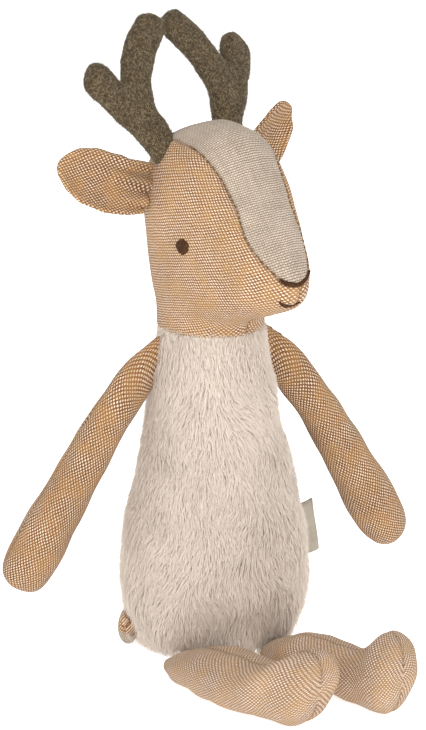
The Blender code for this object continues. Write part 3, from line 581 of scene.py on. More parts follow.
def flatten(piece: Piece, turn: float = 0.0) -> Piece:
    """Give an open panel a UV map in metres, as the panel would lie when cut flat.

    Args:
        piece: The panel.
        turn: The angle of the yarns to the upright, in degrees.

    Returns:
        The piece.
    """
    mesh = piece.data
    while mesh.uv_layers:
        mesh.uv_layers.remove(mesh.uv_layers[0])
    mesh.uv_layers.new(name="cloth")
    bpy.context.view_layer.objects.active = piece
    for other in bpy.context.selected_objects:
        other.select_set(False)
    piece.select_set(True)
    bpy.ops.object.mode_set(mode="EDIT")
    bpy.ops.mesh.select_all(action="SELECT")
    bpy.ops.uv.unwrap(method="CONFORMAL", margin=0.0)
    bpy.ops.object.mode_set(mode="OBJECT")
    count = len(mesh.loops)
    spots = np.zeros(count * 2)
    mesh.uv_layers["cloth"].data.foreach_get("uv", spots)
    spots = spots.reshape(-1, 2)
    corners = np.zeros(count, np.int32)
    mesh.loops.foreach_get("vertex_index", corners)
    points = np.zeros(len(mesh.vertices) * 3)
    mesh.vertices.foreach_get("co", points)
    points = points.reshape(-1, 3)[corners]
    mesh.calc_loop_triangles()
    faces = np.array([t.loops[:] for t in mesh.loop_triangles])
    a, b, c = (points[faces[:, k]] for k in range(3))
    real = np.linalg.norm(np.cross(b - a, c - a), axis=1).sum()
    p, q, r = (spots[faces[:, k]] for k in range(3))
    signed = (q - p)[:, 0] * (r - p)[:, 1] - (q - p)[:, 1] * (r - p)[:, 0]
    spots = spots * math.sqrt(real / max(np.abs(signed).sum(), 1e-12))
    if signed.sum() < 0.0:
        spots[:, 0] *= -1.0
    spots -= spots.mean(axis=0)
    table = np.column_stack([spots, np.ones(count)])
    slope = np.linalg.lstsq(table, points[:, 2], rcond=None)[0][:2]
    angle = math.atan2(slope[0], slope[1]) + math.radians(turn)
    cosine, sine = math.cos(angle), math.sin(angle)
    spots = spots @ np.array([[cosine, sine], [-sine, cosine]])
    mesh.uv_layers["cloth"].data.foreach_set("uv", spots.astype(np.float32).ravel())
    return piece


# --------------------------------------------------------------------------- strands


def fans(mesh: bpy.types.Mesh) -> np.ndarray:
    """Return triangles round each face's middle, sorted by place so that they don't depend on the mesh's own order.

    Args:
        mesh: The mesh.

    Returns:
        The place and the normal of each triangle's three corners.
    """
    rows = np.array([(*v.co, *v.normal) for v in mesh.vertices])
    pairs = np.array([pair for face in mesh.polygons for pair in face.edge_keys])
    middles = [(*face.center, *face.normal) for face in mesh.polygons]
    middles = np.repeat(middles, [face.loop_total for face in mesh.polygons], axis=0)
    key = rows[:, :3] @ SORT_WEIGHTS
    turned = key[pairs[:, 0]] > key[pairs[:, 1]]
    pairs[turned] = pairs[turned][:, ::-1]
    corners = np.stack([rows[pairs[:, 0]], rows[pairs[:, 1]], middles], axis=1)
    return corners[np.argsort(corners[:, :, :3].sum(axis=1) @ SORT_WEIGHTS)]


@dataclass
class Strands:
    """A field of tapered strands rooted on a surface."""

    length: float
    width: float
    count: int
    lean: float
    clump: float = 0.0
    clump_pitch: float = 4.0 * MM
    swing: float = 0.35
    floor: float = -1.0
    soft: float = 0.8
    seed: int = 7

    def field(self, name: str, count: int) -> tuple[Piece, np.ndarray]:
        """Return many copies of one strand as one piece, and the shape of one.

        A strand is a triangle extruded twice and closed in a tip.

        Args:
            name: The piece's name.
            count: How many strands it holds.

        Returns:
            The piece, and one strand's points: two offsets and a place along the strand.
        """
        bm = bmesh.new()
        bmesh.ops.create_circle(bm, cap_ends=False, segments=3, radius=0.5)
        edges = bm.edges[:]
        for step, width in STRAND_STEPS:
            verts, edges = extrude(bm, edges)
            bmesh.ops.translate(bm, verts=verts, vec=(0.0, 0.0, step))
            bmesh.ops.scale(bm, verts=verts, vec=(width, width, 1.0))
        bmesh.ops.remove_doubles(bm, verts=bm.verts, dist=1e-5)
        bmesh.ops.recalc_face_normals(bm, faces=bm.faces)
        bm.verts.index_update()
        shape = np.array([v.co[:] for v in bm.verts])
        rows = modify(make_piece(name, bm), "ARRAY", count=count, use_relative_offset=False)
        return settle(rows), shape

    def roots(self, surface: Piece) -> tuple[np.ndarray, np.ndarray]:
        """Return evenly scattered points on a surface with its normals there.

        Args:
            surface: The mesh object that carries the strands.

        Returns:
            Points and normals.
        """
        draw = np.random.default_rng(self.seed)
        corners = fans(surface.data)
        a, b, c = (corners[:, k, :3] for k in range(3))
        area = np.linalg.norm(np.cross(b - a, c - a), axis=1)
        steps = (np.arange(self.count) + draw.random(self.count)) / self.count
        chosen = corners[np.searchsorted(np.cumsum(area) / area.sum(), steps)]
        s, t = np.sqrt(draw.random((self.count, 1))), draw.random((self.count, 1))
        shares = (1.0 - s, s * (1.0 - t), s * t)
        spot = sum(chosen[:, k] * shares[k] for k in range(3))
        return spot[:, :3], spot[:, 3:] / np.linalg.norm(spot[:, 3:], axis=1)[:, None]

    def grow(self, name: str, place: np.ndarray, normal: np.ndarray, comb: np.ndarray,
             share: np.ndarray | float = 1.0, rank: np.ndarray | None = None) -> Piece:
        """Return the strands as one piece, with how deep each point lies and a tone for each strand, part random and
        part painted shade between tufts.

        Args:
            name: The piece's name.
            place: The roots.
            normal: The surface's normals there.
            comb: The way that the strands are combed, along the surface.
            share: The share of the full length that each strand has.
            rank: Each strand's number in the whole field, which its random draws go by.

        Returns:
            The piece.
        """
        draw = np.random.default_rng(self.seed + 1)
        count = len(place)
        rank = np.arange(count) if rank is None else rank
        piece, shape = self.field(name, count)
        side = np.cross(normal, comb)
        side /= np.linalg.norm(side, axis=1)[:, None] + 1e-9
        swing = (draw.random((self.count, 1))[rank] - 0.5) * 2.0 * self.swing
        way = comb + side * swing
        way /= np.linalg.norm(way, axis=1)[:, None]
        side = np.cross(normal, way)
        long = self.length * share * (0.75 + 0.5 * draw.random((self.count, 1))[rank])
        rise = math.sin(math.radians(self.lean)) * (0.7 + 0.6 * draw.random((self.count, 1))[rank])
        tip = place + long * (way * math.cos(math.radians(self.lean)) + normal * rise)
        tone = draw.random(self.count)[rank]
        if self.clump > 0.0:
            tip, shade = self.gather(place, tip, rank)
            # Strands far from their tuft's middle are painted darker, as shade between tufts; the rest of the tone is
            # random.
            tone = 0.45 * tone + 0.55 * shade
        bow = normal * long * 0.16 * (0.5 + draw.random((self.count, 1))[rank])
        middle = (place + tip) / 2.0 + bow
        t = shape[:, 2][None, :, None]
        spine = place[:, None] * (1 - t) ** 2 + middle[:, None] * 2 * t * (1 - t) + tip[:, None] * t * t
        wide = self.width * (0.7 + 0.6 * draw.random((self.count, 1))[rank])
        offset = side[:, None] * (shape[:, 0][None, :, None] * wide[:, None])
        offset += normal[:, None] * (shape[:, 1][None, :, None] * wide[:, None] * 0.6)
        points = (spine + offset).reshape(-1, 3)
        points[:, 2] = np.maximum(points[:, 2], self.floor)
        piece.data.vertices.foreach_set("co", points.astype(np.float32).ravel())
        for label, values in (("depth", np.tile(shape[:, 2], count)), ("tone", np.repeat(tone, len(shape)))):
            made = piece.data.attributes.new(label, "FLOAT", "POINT")
            made.data.foreach_set("value", values.astype(np.float32))
        piece.data.update()
        own = np.zeros(len(points) * 3)
        piece.data.vertex_normals.foreach_get("vector", own)
        blend = np.repeat(normal, len(shape), axis=0) * self.soft + own.reshape(-1, 3) * (1.0 - self.soft)
        blend /= np.linalg.norm(blend, axis=1)[:, None] + 1e-9
        piece.data.normals_split_custom_set_from_vertices(blend)
        return piece

    def gather(self, place: np.ndarray, tip: np.ndarray, rank: np.ndarray) -> tuple[np.ndarray, np.ndarray]:
        """Draw the tips of neighbouring strands together in tufts, and return how far each root lies from its tuft's
        middle, for painted shade between tufts.
        """
        draw = np.random.default_rng(self.seed + 2)
        chance = CLUMP_AREA / self.clump_pitch**2 / len(place)
        picks = np.flatnonzero(draw.random(self.count)[rank] < chance)
        tree = search_tree(place[picks])
        found = [tree.find(point) for point in place]
        owner = picks[[item[1] for item in found]]
        far = np.clip(np.array([item[2] for item in found]) / self.clump_pitch, 0.0, 1.0)
        share = (self.clump * (0.5 + 0.5 * draw.random(self.count)[rank]))[:, None]
        return tip * (1.0 - share) + tip[owner] * share, far


# --------------------------------------------------------------------------- shape tables


def search_tree(points: list) -> kdtree.KDTree:
    """Return a search tree over points, numbered in their order."""
    tree = kdtree.KDTree(len(points))
    for order, point in enumerate(points):
        tree.insert(point, order)
    tree.balance()
    return tree


def between(places: Table, values: Table, place: float) -> float:
    """Return the value at a place on a table, straight between its entries."""
    return float(np.interp(place, places, values))


@dataclass(frozen=True)
class Palette:
    """Every material of the toy, built once."""

    pile: bpy.types.Material
    backing: bpy.types.Material
    tan: bpy.types.Material
    brown: bpy.types.Material
    pale: bpy.types.Material
    linen: bpy.types.Material
    felt: bpy.types.Material
    felt_hair: bpy.types.Material
    thread: bpy.types.Material
    seam_thread: bpy.types.Material
    label: bpy.types.Material

    @classmethod
    def mixed(cls) -> Palette:
        """Return the palette with all its materials built."""
        groups = Groups()
        finishes = dict(
            pile=Hair("cream pile"),
            backing=Felt("plush backing", colour=(0.80, 0.70, 0.60), hair=(0.86, 0.77, 0.67),
                         pit_shade_colour=(0.70, 0.60, 0.50)),
            tan=Woven("tan weave"),
            brown=Woven("brown weave", ground=(0.155, 0.062, 0.022),
                        second=(0.27, 0.128, 0.042), fleck=(0.76, 0.60, 0.43), fleck_size=0.86),
            pale=Woven("pale weave", ground=(0.28, 0.15, 0.075),
                       second=(0.36, 0.205, 0.09), fleck=(0.74, 0.635, 0.53), tint=(0.94, 0.90, 0.84),
                       fleck_size=0.92),
            linen=Woven("linen", pitch=(0.66 * MM, 0.66 * MM), ground=(0.46, 0.375, 0.295),
                        second=(0.38, 0.31, 0.24), fleck=(0.62, 0.53, 0.435), tint=(0.92, 0.91, 0.89), fleck_size=0.6,
                        gap=1.0),
            felt=Felt("antler felt"),
            felt_hair=Hair("felt fibre", root=(0.06, 0.042, 0.02), tip=(0.40, 0.31, 0.19)),
            thread=Thread("dark thread"),
            seam_thread=Thread("seam thread", colour=(0.11, 0.055, 0.025), light=(0.26, 0.15, 0.07)),
            label=Woven("label tape", pitch=(0.30 * MM, 0.45 * MM), ground=(0.42, 0.375, 0.30),
                        second=(0.37, 0.325, 0.26), fleck=(0.50, 0.455, 0.385), tint=(1.0, 1.0, 1.0),
                        fleck_size=0.4, gap=0.2),
        )
        return cls(**{name: finish.build(groups) for name, finish in finishes.items()})


# --------------------------------------------------------------------------- the body


@dataclass
class Body:
    """The plush body: a closed cover whose long pile is combed down and gathered at the right arm."""

    palette: Palette
    height: float = 128.5 * MM
    radius: float = 36.9 * MM
    sides: int = 12
    inset: float = 2.7 * MM
    level_shares: Table = (0.0, 0.03, 0.10, 0.20, 0.32, 0.47, 0.62, 0.80, 1.0)
    radius_shares: Table = (0.80, 0.87, 0.975, 1.03, 1.005, 0.895, 0.78, 0.655, 0.55)
    depth_shares: Table = (0.93, 0.93, 0.93, 0.93, 0.93, 0.94, 0.96, 0.98, 1.0)
    strand_count: int = 76000
    strand_length: float = 7.0 * MM
    strand_width: float = 0.26 * MM
    collar_height: float = 112.0 * MM
    collar_share: float = 0.45
    gather_place: Triple = (-3.0 * MM, -26.0 * MM, 100.0 * MM)
    gather_reach: float = 20.0 * MM
    pile_split: float = 52.0 * MM
    aside: float = 1.2 * MM
    sway: Table = (14.0 * MM, 0.75)
    fine_sway: Table = (5.0 * MM, 0.45)
    gather_flow: Triple = (0.55, 0.0, -0.25)

    def width(self, height: float) -> float:
        """Return the half width at a height."""
        return self.radius * between(self.level_shares, self.radius_shares, height / self.height)

    def depth(self, height: float) -> float:
        """Return the half depth at a height."""
        return self.width(height) * between(self.level_shares, self.depth_shares, height / self.height)

    def cover(self, name: str) -> Piece:
        """Return the closed cover that the pile is rooted in.

        Args:
            name: The piece's name.

        Returns:
            The piece.
        """
        rings = []
        for share in self.level_shares:
            level = share * self.height
            inset = self.inset * min(1.0, 0.35 + 3.0 * (1.0 - share))
            across = self.width(level) - inset
            upward = self.depth(level) - inset
            aside = self.aside * math.sin(math.pi * min(share * 1.3, 1.0))
            centre = Vector((aside, 0.0, min(max(level, 0.4 * MM), self.height - 0.8 * MM)))
            rings.append(Ring(centre, Vector((across, 0.0, 0.0)), Vector((0.0, upward, 0.0))))
        last = rings[-1]
        rings.append(Ring(last.centre + UP * 0.6 * MM, last.across, last.upward))
        piece = make_piece(name, grow_sleeve(rings, self.sides, True, True))
        subdivide(piece, 3)
        return sculpt(piece, lambda point, normal: ripple(point, 16.0 * MM, 0.9 * MM, 3.0))

    def comb(self, place: np.ndarray, normal: np.ndarray) -> np.ndarray:
        """Return the way that the pile lies at each root."""
        down = np.tile(np.array([0.0, 0.0, -1.0]), (len(place), 1))
        sway, fine = (np.array([drift(Vector(p) / pitch + Vector((seed, 0.0, 0.0))) for p in place])
                      for pitch, seed in ((self.sway[0], 0.0), (self.fine_sway[0], 9.0)))
        way = down + self.sway[1] * sway + self.fine_sway[1] * fine
        spot = np.array(self.gather_place)
        away = place - spot
        far = np.linalg.norm(away, axis=1)[:, None]
        pull = np.clip(1.0 - far / self.gather_reach, 0.0, 1.0) ** 1.2
        flow = away / (far + 2.0 * MM) + np.array(self.gather_flow)
        way = way * (1.0 - 0.8 * pull) + flow * pull * 1.1
        way -= normal * (way * normal).sum(axis=1)[:, None]
        return way / (np.linalg.norm(way, axis=1)[:, None] + 1e-9)

    def build(self) -> None:
        """Build the cover and the pile."""
        cover = self.cover("body_cover")
        strands = Strands(self.strand_length, self.strand_width, self.strand_count, 18.0, clump=0.5,
                          clump_pitch=1.9 * MM, floor=0.3 * MM)
        place, normal = strands.roots(cover)
        kept = normal[:, 2] > -0.55
        place, normal, rank = place[kept], normal[kept], np.flatnonzero(kept)
        way = self.comb(place, normal)
        near = np.clip((place[:, 2] - self.collar_height) / (self.height - self.collar_height), 0.0, 1.0)
        share = (1.0 - (1.0 - self.collar_share) * near)[:, None]
        turn = np.floor((np.arctan2(place[:, 1], place[:, 0]) / (2.0 * math.pi) % 1.0) * 4.0)
        for quarter, word in enumerate(("back_left", "back_right", "front_right", "front_left")):
            for level, low, high in (("low", -1.0, self.pile_split), ("high", self.pile_split, 1.0)):
                chosen = (turn == quarter) & (place[:, 2] > low) & (place[:, 2] <= high)
                pile = strands.grow("pile_" + word + "_" + level, place[chosen], normal[chosen], way[chosen],
                                    share[chosen], rank[chosen])
                publish(pile, "torso", "plush", self.palette.pile)
        publish(cover, "torso", "plush", self.palette.backing, "body_front_panel", "body_back_panel",
                "body_base_panel", "body_filling", "pellet_pouch")


# --------------------------------------------------------------------------- the head


@dataclass(frozen=True)
class Rope:
    """One thread: a path, its radius at each point, and how round it is to the surface that it lies on."""

    points: list[Vector]
    radii: list[float]
    up: Vector
    flat: float = 0.8

    def mesh(self) -> Mesh:
        """Return the thread as a closed tube."""
        rings = []
        for order, (point, radius) in enumerate(zip(self.points, self.radii)):
            before = self.points[max(order - 1, 0)]
            after = self.points[min(order + 1, len(self.points) - 1)]
            way = (after - before).normalized()
            across = way.cross(self.up).normalized()
            rings.append(Ring(point, across * radius, across.cross(way).normalized() * -radius * self.flat))
        return grow_sleeve(rings, 6, True, True)


def thinned(middle: float, end: float, count: int) -> list[float]:
    """Return a thread's radii from millimetres, thinner at its two ends."""
    return [end * MM] + [middle * MM] * (count - 2) + [end * MM]


def make_threads(name: str, ropes: list[Rope], matrix: Matrix) -> Piece:
    """Return many threads as one piece."""
    whole = bmesh.new()
    for rope in ropes:
        part = rope.mesh()
        mesh = bpy.data.meshes.new(name)
        part.to_mesh(mesh)
        part.free()
        whole.from_mesh(mesh)
        bpy.data.meshes.remove(mesh)
    return make_piece(name, whole, matrix)


@dataclass
class Head:
    """The three-panel head: two woven side panels and a linen gusset from the nose over the crown."""

    palette: Palette
    place: Triple = (0.0, 0.0, 128.5 * MM)
    turn: float = 20.0
    height: float = 77.0 * MM
    half_width: float = 23.6 * MM
    back: float = 26.2 * MM
    front: float = 49.5 * MM
    sides: int = 12
    pinch_share: float = 0.28
    level_shares: Table = (0.0, 0.07, 0.13, 0.20, 0.29, 0.40, 0.56, 0.68, 0.79, 0.885, 0.955, 1.0)
    width_shares: Table = (0.84, 0.83, 0.85, 0.90, 0.93, 0.97, 1.01, 1.01, 0.95, 0.84, 0.60, 0.22)
    back_shares: Table = (0.80, 0.79, 0.81, 0.87, 0.90, 0.95, 1.00, 1.0, 0.92, 0.75, 0.42, 0.02)
    front_shares: Table = (0.40, 0.42, 0.78, 0.97, 1.0, 0.93, 0.71, 0.60, 0.50, 0.44, 0.38, 0.26)
    corner_powers: Table = (1.0, 1.0, 1.0, 0.95, 0.85, 0.75, 0.68, 0.68, 0.70, 0.82, 1.0, 1.0)
    gusset_levels: Table = (23.3, 24.0, 25.0, 26.2, 31.2, 35.7, 40.1, 45.3, 49.7, 55.3, 60.5, 65.0,
                                        70.0, 77.0)
    gusset_halves: Table = (0.4, 4.0, 6.2, 7.3, 10.6, 12.5, 13.4, 13.2, 12.9, 13.7, 14.4, 15.6,
                                        16.2, 16.5)
    back_levels: Table = (0.0, 15.0, 30.0, 45.0, 60.0, 77.0)
    back_halves: Table = (6.0, 7.2, 8.8, 11.0, 13.6, 16.5)
    tuck: float = 2.0 * MM
    seam_reach: float = 1.9 * MM
    seam_depth: float = 0.75 * MM
    seam_shade: float = 0.9 * MM
    cloth_lift: float = 0.55 * MM
    eye_place: Triple = (40.0, -10.0, 34.3)
    eye_half: float = 4.4 * MM
    eye_rise: float = 3.0 * MM
    eye_threads: int = 12
    nose_across: Table = (-7.0, -5.7, -3.2, -1.3, 0.6, 3.7, 7.4)
    nose_heights: Table = (25.8, 24.5, 23.7, 23.5, 23.9, 24.8, 26.4)
    nose_halves: Table = (0.55, 0.95, 0.95, 0.85, 0.95, 0.80, 0.40)
    nose_threads: int = 34
    mouth_points: tuple = ((-6.3, 17.4), (-5.4, 16.3), (-4.1, 15.7), (-2.3, 15.7), (0.0, 16.2), (2.3, 17.1),
                           (4.4, 18.5))
    mouth_radii: Table = (0.30, 0.62, 0.68, 0.48, 0.32, 0.28, 0.22)
    philtrum_points: tuple = ((-3.8, 22.6), (-3.9, 21.0), (-3.8, 19.5), (-3.7, 18.0), (-3.5, 16.6))
    stitch_levels: tuple[float, float] = (27.5, 71.0)
    stitch_pitch: float = 1.9

    def frame(self) -> Matrix:
        """Return the matrix from the head's own frame to the model's."""
        return Matrix.Translation(self.place) @ Matrix.Rotation(math.radians(self.turn), 4, "Z")

    def skin_point(self, angle: float, height: float) -> Vector:
        """Return the point of the cage at an angle and a height.

        Args:
            angle: The angle from the left, towards the back.
            height: The height over the collar.

        Returns:
            The point.
        """
        share = height / self.height
        half = self.half_width * between(self.level_shares, self.width_shares, share)
        back = self.back * between(self.level_shares, self.back_shares, share)
        front = self.front * between(self.level_shares, self.front_shares, share)
        pinch = self.pinch_share * max(front / half - 1.0, 0.0) / (self.front / self.half_width - 1.0)
        corner = between(self.level_shares, self.corner_powers, share)
        sine, cosine = math.sin(angle), math.cos(angle)
        grow = swell(self.sides)
        if sine > 1e-6:
            return Vector((half * cosine * grow, back * sine * grow, height))
        narrow = half * (1.0 - pinch * sine * sine)
        across = math.copysign(narrow * abs(cosine) ** corner, cosine)
        return Vector((across * grow, -front * abs(sine) ** corner * grow, height))

    def form(self, name: str) -> Piece:
        """Return the whole head as one smooth form in its own frame."""
        levels = [-self.tuck, -0.5 * self.tuck] + [share * self.height for share in self.level_shares]
        unit = Vector((1.0, 0.0, 0.0)), Vector((0.0, 1.0, 0.0))
        rings = [Ring(Vector((0.0, 0.0, level)), *unit) for level in levels]
        bm = grow_sleeve(rings, self.sides, False, False)
        for vert in bm.verts:
            vert.co = self.skin_point(math.atan2(vert.co.y, vert.co.x), vert.co.z)
        crown = [e for e in bm.edges if e.is_boundary and e.verts[0].co.z > 0.9 * self.height]
        bmesh.ops.contextual_create(bm, geom=crown)
        return subdivide(make_piece(name, bm), 4)

    def gusset_field(self, point: Vector) -> float:
        """Return how far a point lies outside the gusset's edge, below zero on the gusset."""
        levels, halves = self.back_levels, self.back_halves
        if point.y < 0.0:
            levels, halves = self.gusset_levels, self.gusset_halves
        height = point.z / MM
        if point.y < 0.0 and height < levels[0]:
            return abs(point.x) + (levels[0] - height) * MM
        near = [between(levels, halves, height + step) for step in (-1.6, -0.8, 0.0, 0.8, 1.6)]
        soft = sum(near) / len(near) if height > levels[3] else near[2]
        return abs(point.x) - soft * MM

    def split(self, bm: Mesh) -> None:
        """Cut the form's faces along the gusset's edge.

        Args:
            bm: The form.
        """
        level = {vert: self.gusset_field(vert.co) for vert in bm.verts}
        edges = [e for e in bm.edges if level[e.verts[0]] * level[e.verts[1]] < 0.0]
        marked = set()
        for edge in edges:
            first, second = edge.verts
            share = level[first] / (level[first] - level[second])
            for vert, part in ((first, share), (second, 1.0 - share)):
                if part < 0.14 and vert not in marked:
                    other = edge.other_vert(vert)
                    vert.co = vert.co.lerp(other.co, part)
                    marked.add(vert)
        for vert in marked:
            level[vert] = 0.0
        for edge in edges:
            first, second = edge.verts
            if level[first] * level[second] < 0.0:
                made = bmesh.utils.edge_split(edge, first, level[first] / (level[first] - level[second]))[1]
                level[made] = 0.0
                marked.add(made)
        bmesh.ops.connect_verts(bm, verts=list(marked))

    def panel(self, name: str, form: Piece, wanted: object, turn: float) -> Piece:
        """Return one panel of the form with its edges drawn into the seam.

        Args:
            name: The piece's name.
            form: The whole head.
            wanted: A test of a face's middle.
            turn: How the yarns are turned, in degrees.

        Returns:
            The panel, in the head's own frame.
        """
        bm = bmesh.new()
        bm.from_mesh(form.data)
        bmesh.ops.bisect_plane(bm, geom=bm.faces[:] + bm.edges[:] + bm.verts[:], dist=1e-5,
                               plane_co=(0.0, 0.0, 0.0), plane_no=(1.0, 0.0, 0.0))
        self.split(bm)
        extra = [face for face in bm.faces if not wanted(face.calc_center_median())]
        bmesh.ops.delete(bm, geom=extra, context="FACES")
        tree = search_tree([vert.co for vert in bm.verts if vert.is_boundary])
        bm.normal_update()
        seam = bm.verts.layers.float.new("seam")
        moves = []
        for vert in bm.verts:
            far = tree.find(vert.co)[2]
            near = max(1.0 - far / self.seam_reach, 0.0)
            # The seam layer holds painted shade that darkens the cloth near the panel's drawn-in edges.
            vert[seam] = max(1.0 - far / self.seam_shade, 0.0)
            lift = self.cloth_lift - self.seam_depth * near * near + ripple(vert.co, 11.0 * MM, 0.45 * MM, 5.0)
            moves.append((vert, vert.co + vert.normal * lift))
        for vert, point in moves:
            vert.co = point
        return flatten(make_piece(name, bm), turn)

    def build(self) -> Piece:
        """Build the panels, the seams' stitches, the eyes and the face's threads.

        Returns:
            The head's smooth form, for what is sewn to it.
        """
        form = self.form("head_form")
        panels = (
            ("head_right_cloth", lambda p: p.x < 0.0 and self.gusset_field(p) > 0.0, 25.0, self.palette.tan,
             "tan_cloth", ("head_right_panel", "head_filling")),
            ("head_left_cloth", lambda p: p.x > 0.0 and self.gusset_field(p) > 0.0, -25.0, self.palette.tan,
             "tan_cloth", ("head_left_panel",)),
            ("head_blaze_cloth", lambda p: self.gusset_field(p) < 0.0, 0.0, self.palette.linen,
             "linen", ("head_blaze",)),
        )
        for name, wanted, turn, material, slot, nodes in panels:
            panel = self.panel(name, form, wanted, turn)
            panel.data.transform(self.frame())
            publish(panel, "head", slot, material, *nodes)
        self.sew(form)
        return form

    def drape(self, tree: BVHTree, points: list[tuple[float, float]], lift: float) -> list[Vector]:
        """Return points on the face seen from the front, lifted off the cloth."""
        made = []
        for across, height in points:
            start = Vector((across * MM, -0.1, height * MM))
            point, normal, _, _ = tree.ray_cast(start, Vector((0.0, 1.0, 0.0)))
            if point is None:
                point, normal, _, _ = tree.find_nearest(Vector((across * MM, -0.012, height * MM)))
            made.append(point + normal * lift)
        return made

    def sew(self, form: Piece) -> None:
        """Sew the eyes, the nose, the mouth and the gusset's seam stitches.

        Args:
            form: The head's smooth form.
        """
        tree = BVHTree.FromObject(form, bpy.context.evaluated_depsgraph_get())
        thread, seam = self.palette.thread, self.palette.seam_thread
        for side in Side:
            eye = make_threads("eye_" + side.word + "_satin", self.eye(tree, side), self.frame())
            publish(eye, "head", "thread", thread, "eye_" + side.word)
        nose = make_threads("nose_satin", self.satin(tree), self.frame())
        publish(nose, "head", "thread", thread, "nose_stitch")
        smile = self.drape(tree, self.mouth_points, 0.55 * MM)
        radii = [step * MM for step in self.mouth_radii]
        mouth = make_threads("mouth_thread", [Rope(smile, radii, AHEAD)], self.frame())
        publish(mouth, "head", "thread", thread, "mouth_stitch")
        lip = self.drape(tree, self.philtrum_points, 0.42 * MM)
        upright = make_threads("philtrum_thread", [Rope(lip, [0.17 * MM] * 5, AHEAD)], self.frame())
        publish(upright, "head", "thread", seam, "philtrum_stitch")
        stitches = make_threads("gusset_stitches", self.seam_stitches(tree), self.frame())
        publish(stitches, "head", "thread", seam)

    def eye(self, tree: BVHTree, side: Side) -> list[Rope]:
        """Return the satin stitches of one eye.

        Args:
            tree: The form's search tree.
            side: Which eye.

        Returns:
            The threads.
        """
        start = Vector((side.value * self.eye_place[0], *self.eye_place[1:])) * MM
        point, normal, _, _ = tree.ray_cast(start, Vector((-side.value, 0.0, 0.0)))
        ahead = (AHEAD - normal * AHEAD.dot(normal)).normalized()
        upward = (UP - normal * UP.dot(normal)).normalized()
        ropes = []
        for order in range(self.eye_threads):
            level = (order + 0.5) / self.eye_threads * 2.0 - 1.0
            half = self.eye_half * math.sqrt(1.0 - level * level)
            half *= 0.96 + 0.08 * noise.noise(Vector((order * 3.7, 0, 0)))
            points = []
            for step in range(7):
                share = step / 3.0 - 1.0
                spot = point + ahead * half * share + upward * (self.eye_rise * level + 0.35 * MM * share)
                near, out, _, _ = tree.find_nearest(spot)
                lift = 0.30 + 0.62 * (1.0 - share * share) * math.sqrt(1.0 - 0.8 * level * level)
                points.append(near + out * lift * MM)
            ropes.append(Rope(points, thinned(0.31, 0.14, 7), normal))
        return ropes

    def satin(self, tree: BVHTree) -> list[Rope]:
        """Return the satin stitches of the nose's V, each across its line."""
        across = self.nose_across
        ropes = []
        for order in range(self.nose_threads):
            place = across[0] + (across[-1] - across[0]) * order / (self.nose_threads - 1)
            middle, reach = (between(across, table, place) for table in (self.nose_heights, self.nose_halves))
            reach *= 1.0 + 0.12 * noise.noise(Vector((order * 2.3, 5.0, 0.0)))
            spots = [(place + 0.25 * share, middle + reach * share) for share in (-1.0, -0.6, 0.0, 0.6, 1.0)]
            lifts = (0.25, 0.75, 0.95, 0.75, 0.25)
            points = [self.drape(tree, [spot], lift * MM)[0] for spot, lift in zip(spots, lifts)]
            ropes.append(Rope(points, thinned(0.29, 0.12, 5), AHEAD))
        return ropes

    def seam_stitches(self, tree: BVHTree) -> list[Rope]:
        """Return the stitches that show along the gusset's two edges over the face."""
        ropes = []
        for side in Side:
            height = self.stitch_levels[0]
            while height < self.stitch_levels[1]:
                spots = []
                for step in (0.0, 0.5, 1.0):
                    half = between(self.gusset_levels, self.gusset_halves, height + step)
                    spots.append((side.value * half, height + step))
                points = self.drape(tree, spots, 0.30 * MM)
                ropes.append(Rope(points, thinned(0.27, 0.12, 3), AHEAD))
                height += self.stitch_pitch + 0.5 * noise.noise(Vector((height, side.value, 0.0)))
        return ropes


# --------------------------------------------------------------------------- limbs


def seam_frame(body: Body, low: float, high: float, side: Side) -> Matrix:
    """Return the frame of a side seam of the body, with Z along the seam."""
    foot = Vector((side.value * body.width(low), 0.0, low))
    head = Vector((side.value * body.width(high), 0.0, high))
    up = (head - foot).normalized()
    back = Vector((0.0, 1.0, 0.0))
    turn = Matrix((back.cross(up), back, up)).transposed().to_4x4()
    middle = (foot + head) / 2.0
    middle.x = side.value * body.width(middle.z)
    return Matrix.Translation(middle) @ turn


def seam_lines(piece: Piece, seam: float, radius: float, depth: float) -> None:
    """Draw two opposite seams along a sleeve and mark them for the painted shade that darkens the cloth along them.
    """
    mesh = piece.data
    turns = np.zeros((2, len(mesh.vertices)))
    for row, label in zip(turns, ("turn_x", "turn_y")):
        mesh.attributes[label].data.foreach_get("value", row)
    share = np.arctan2(turns[1], turns[0]) / (2.0 * math.pi) - seam
    gap = np.abs((share * 2.0 + 0.5) % 1.0 - 0.5) * math.pi * radius
    gap[np.hypot(*turns) < 0.4] = radius
    # The seam layer holds painted shade along the drawn-in seams.
    made = mesh.attributes.new("seam", "FLOAT", "POINT")
    made.data.foreach_set("value", np.maximum(1.0 - gap / SEAM_SHADE_REACH, 0.0).astype(np.float32))
    near = np.maximum(1.0 - gap / SEAM_DRAWN_REACH, 0.0) ** 2 * depth
    raise_by(piece, [-drawn for drawn in near])


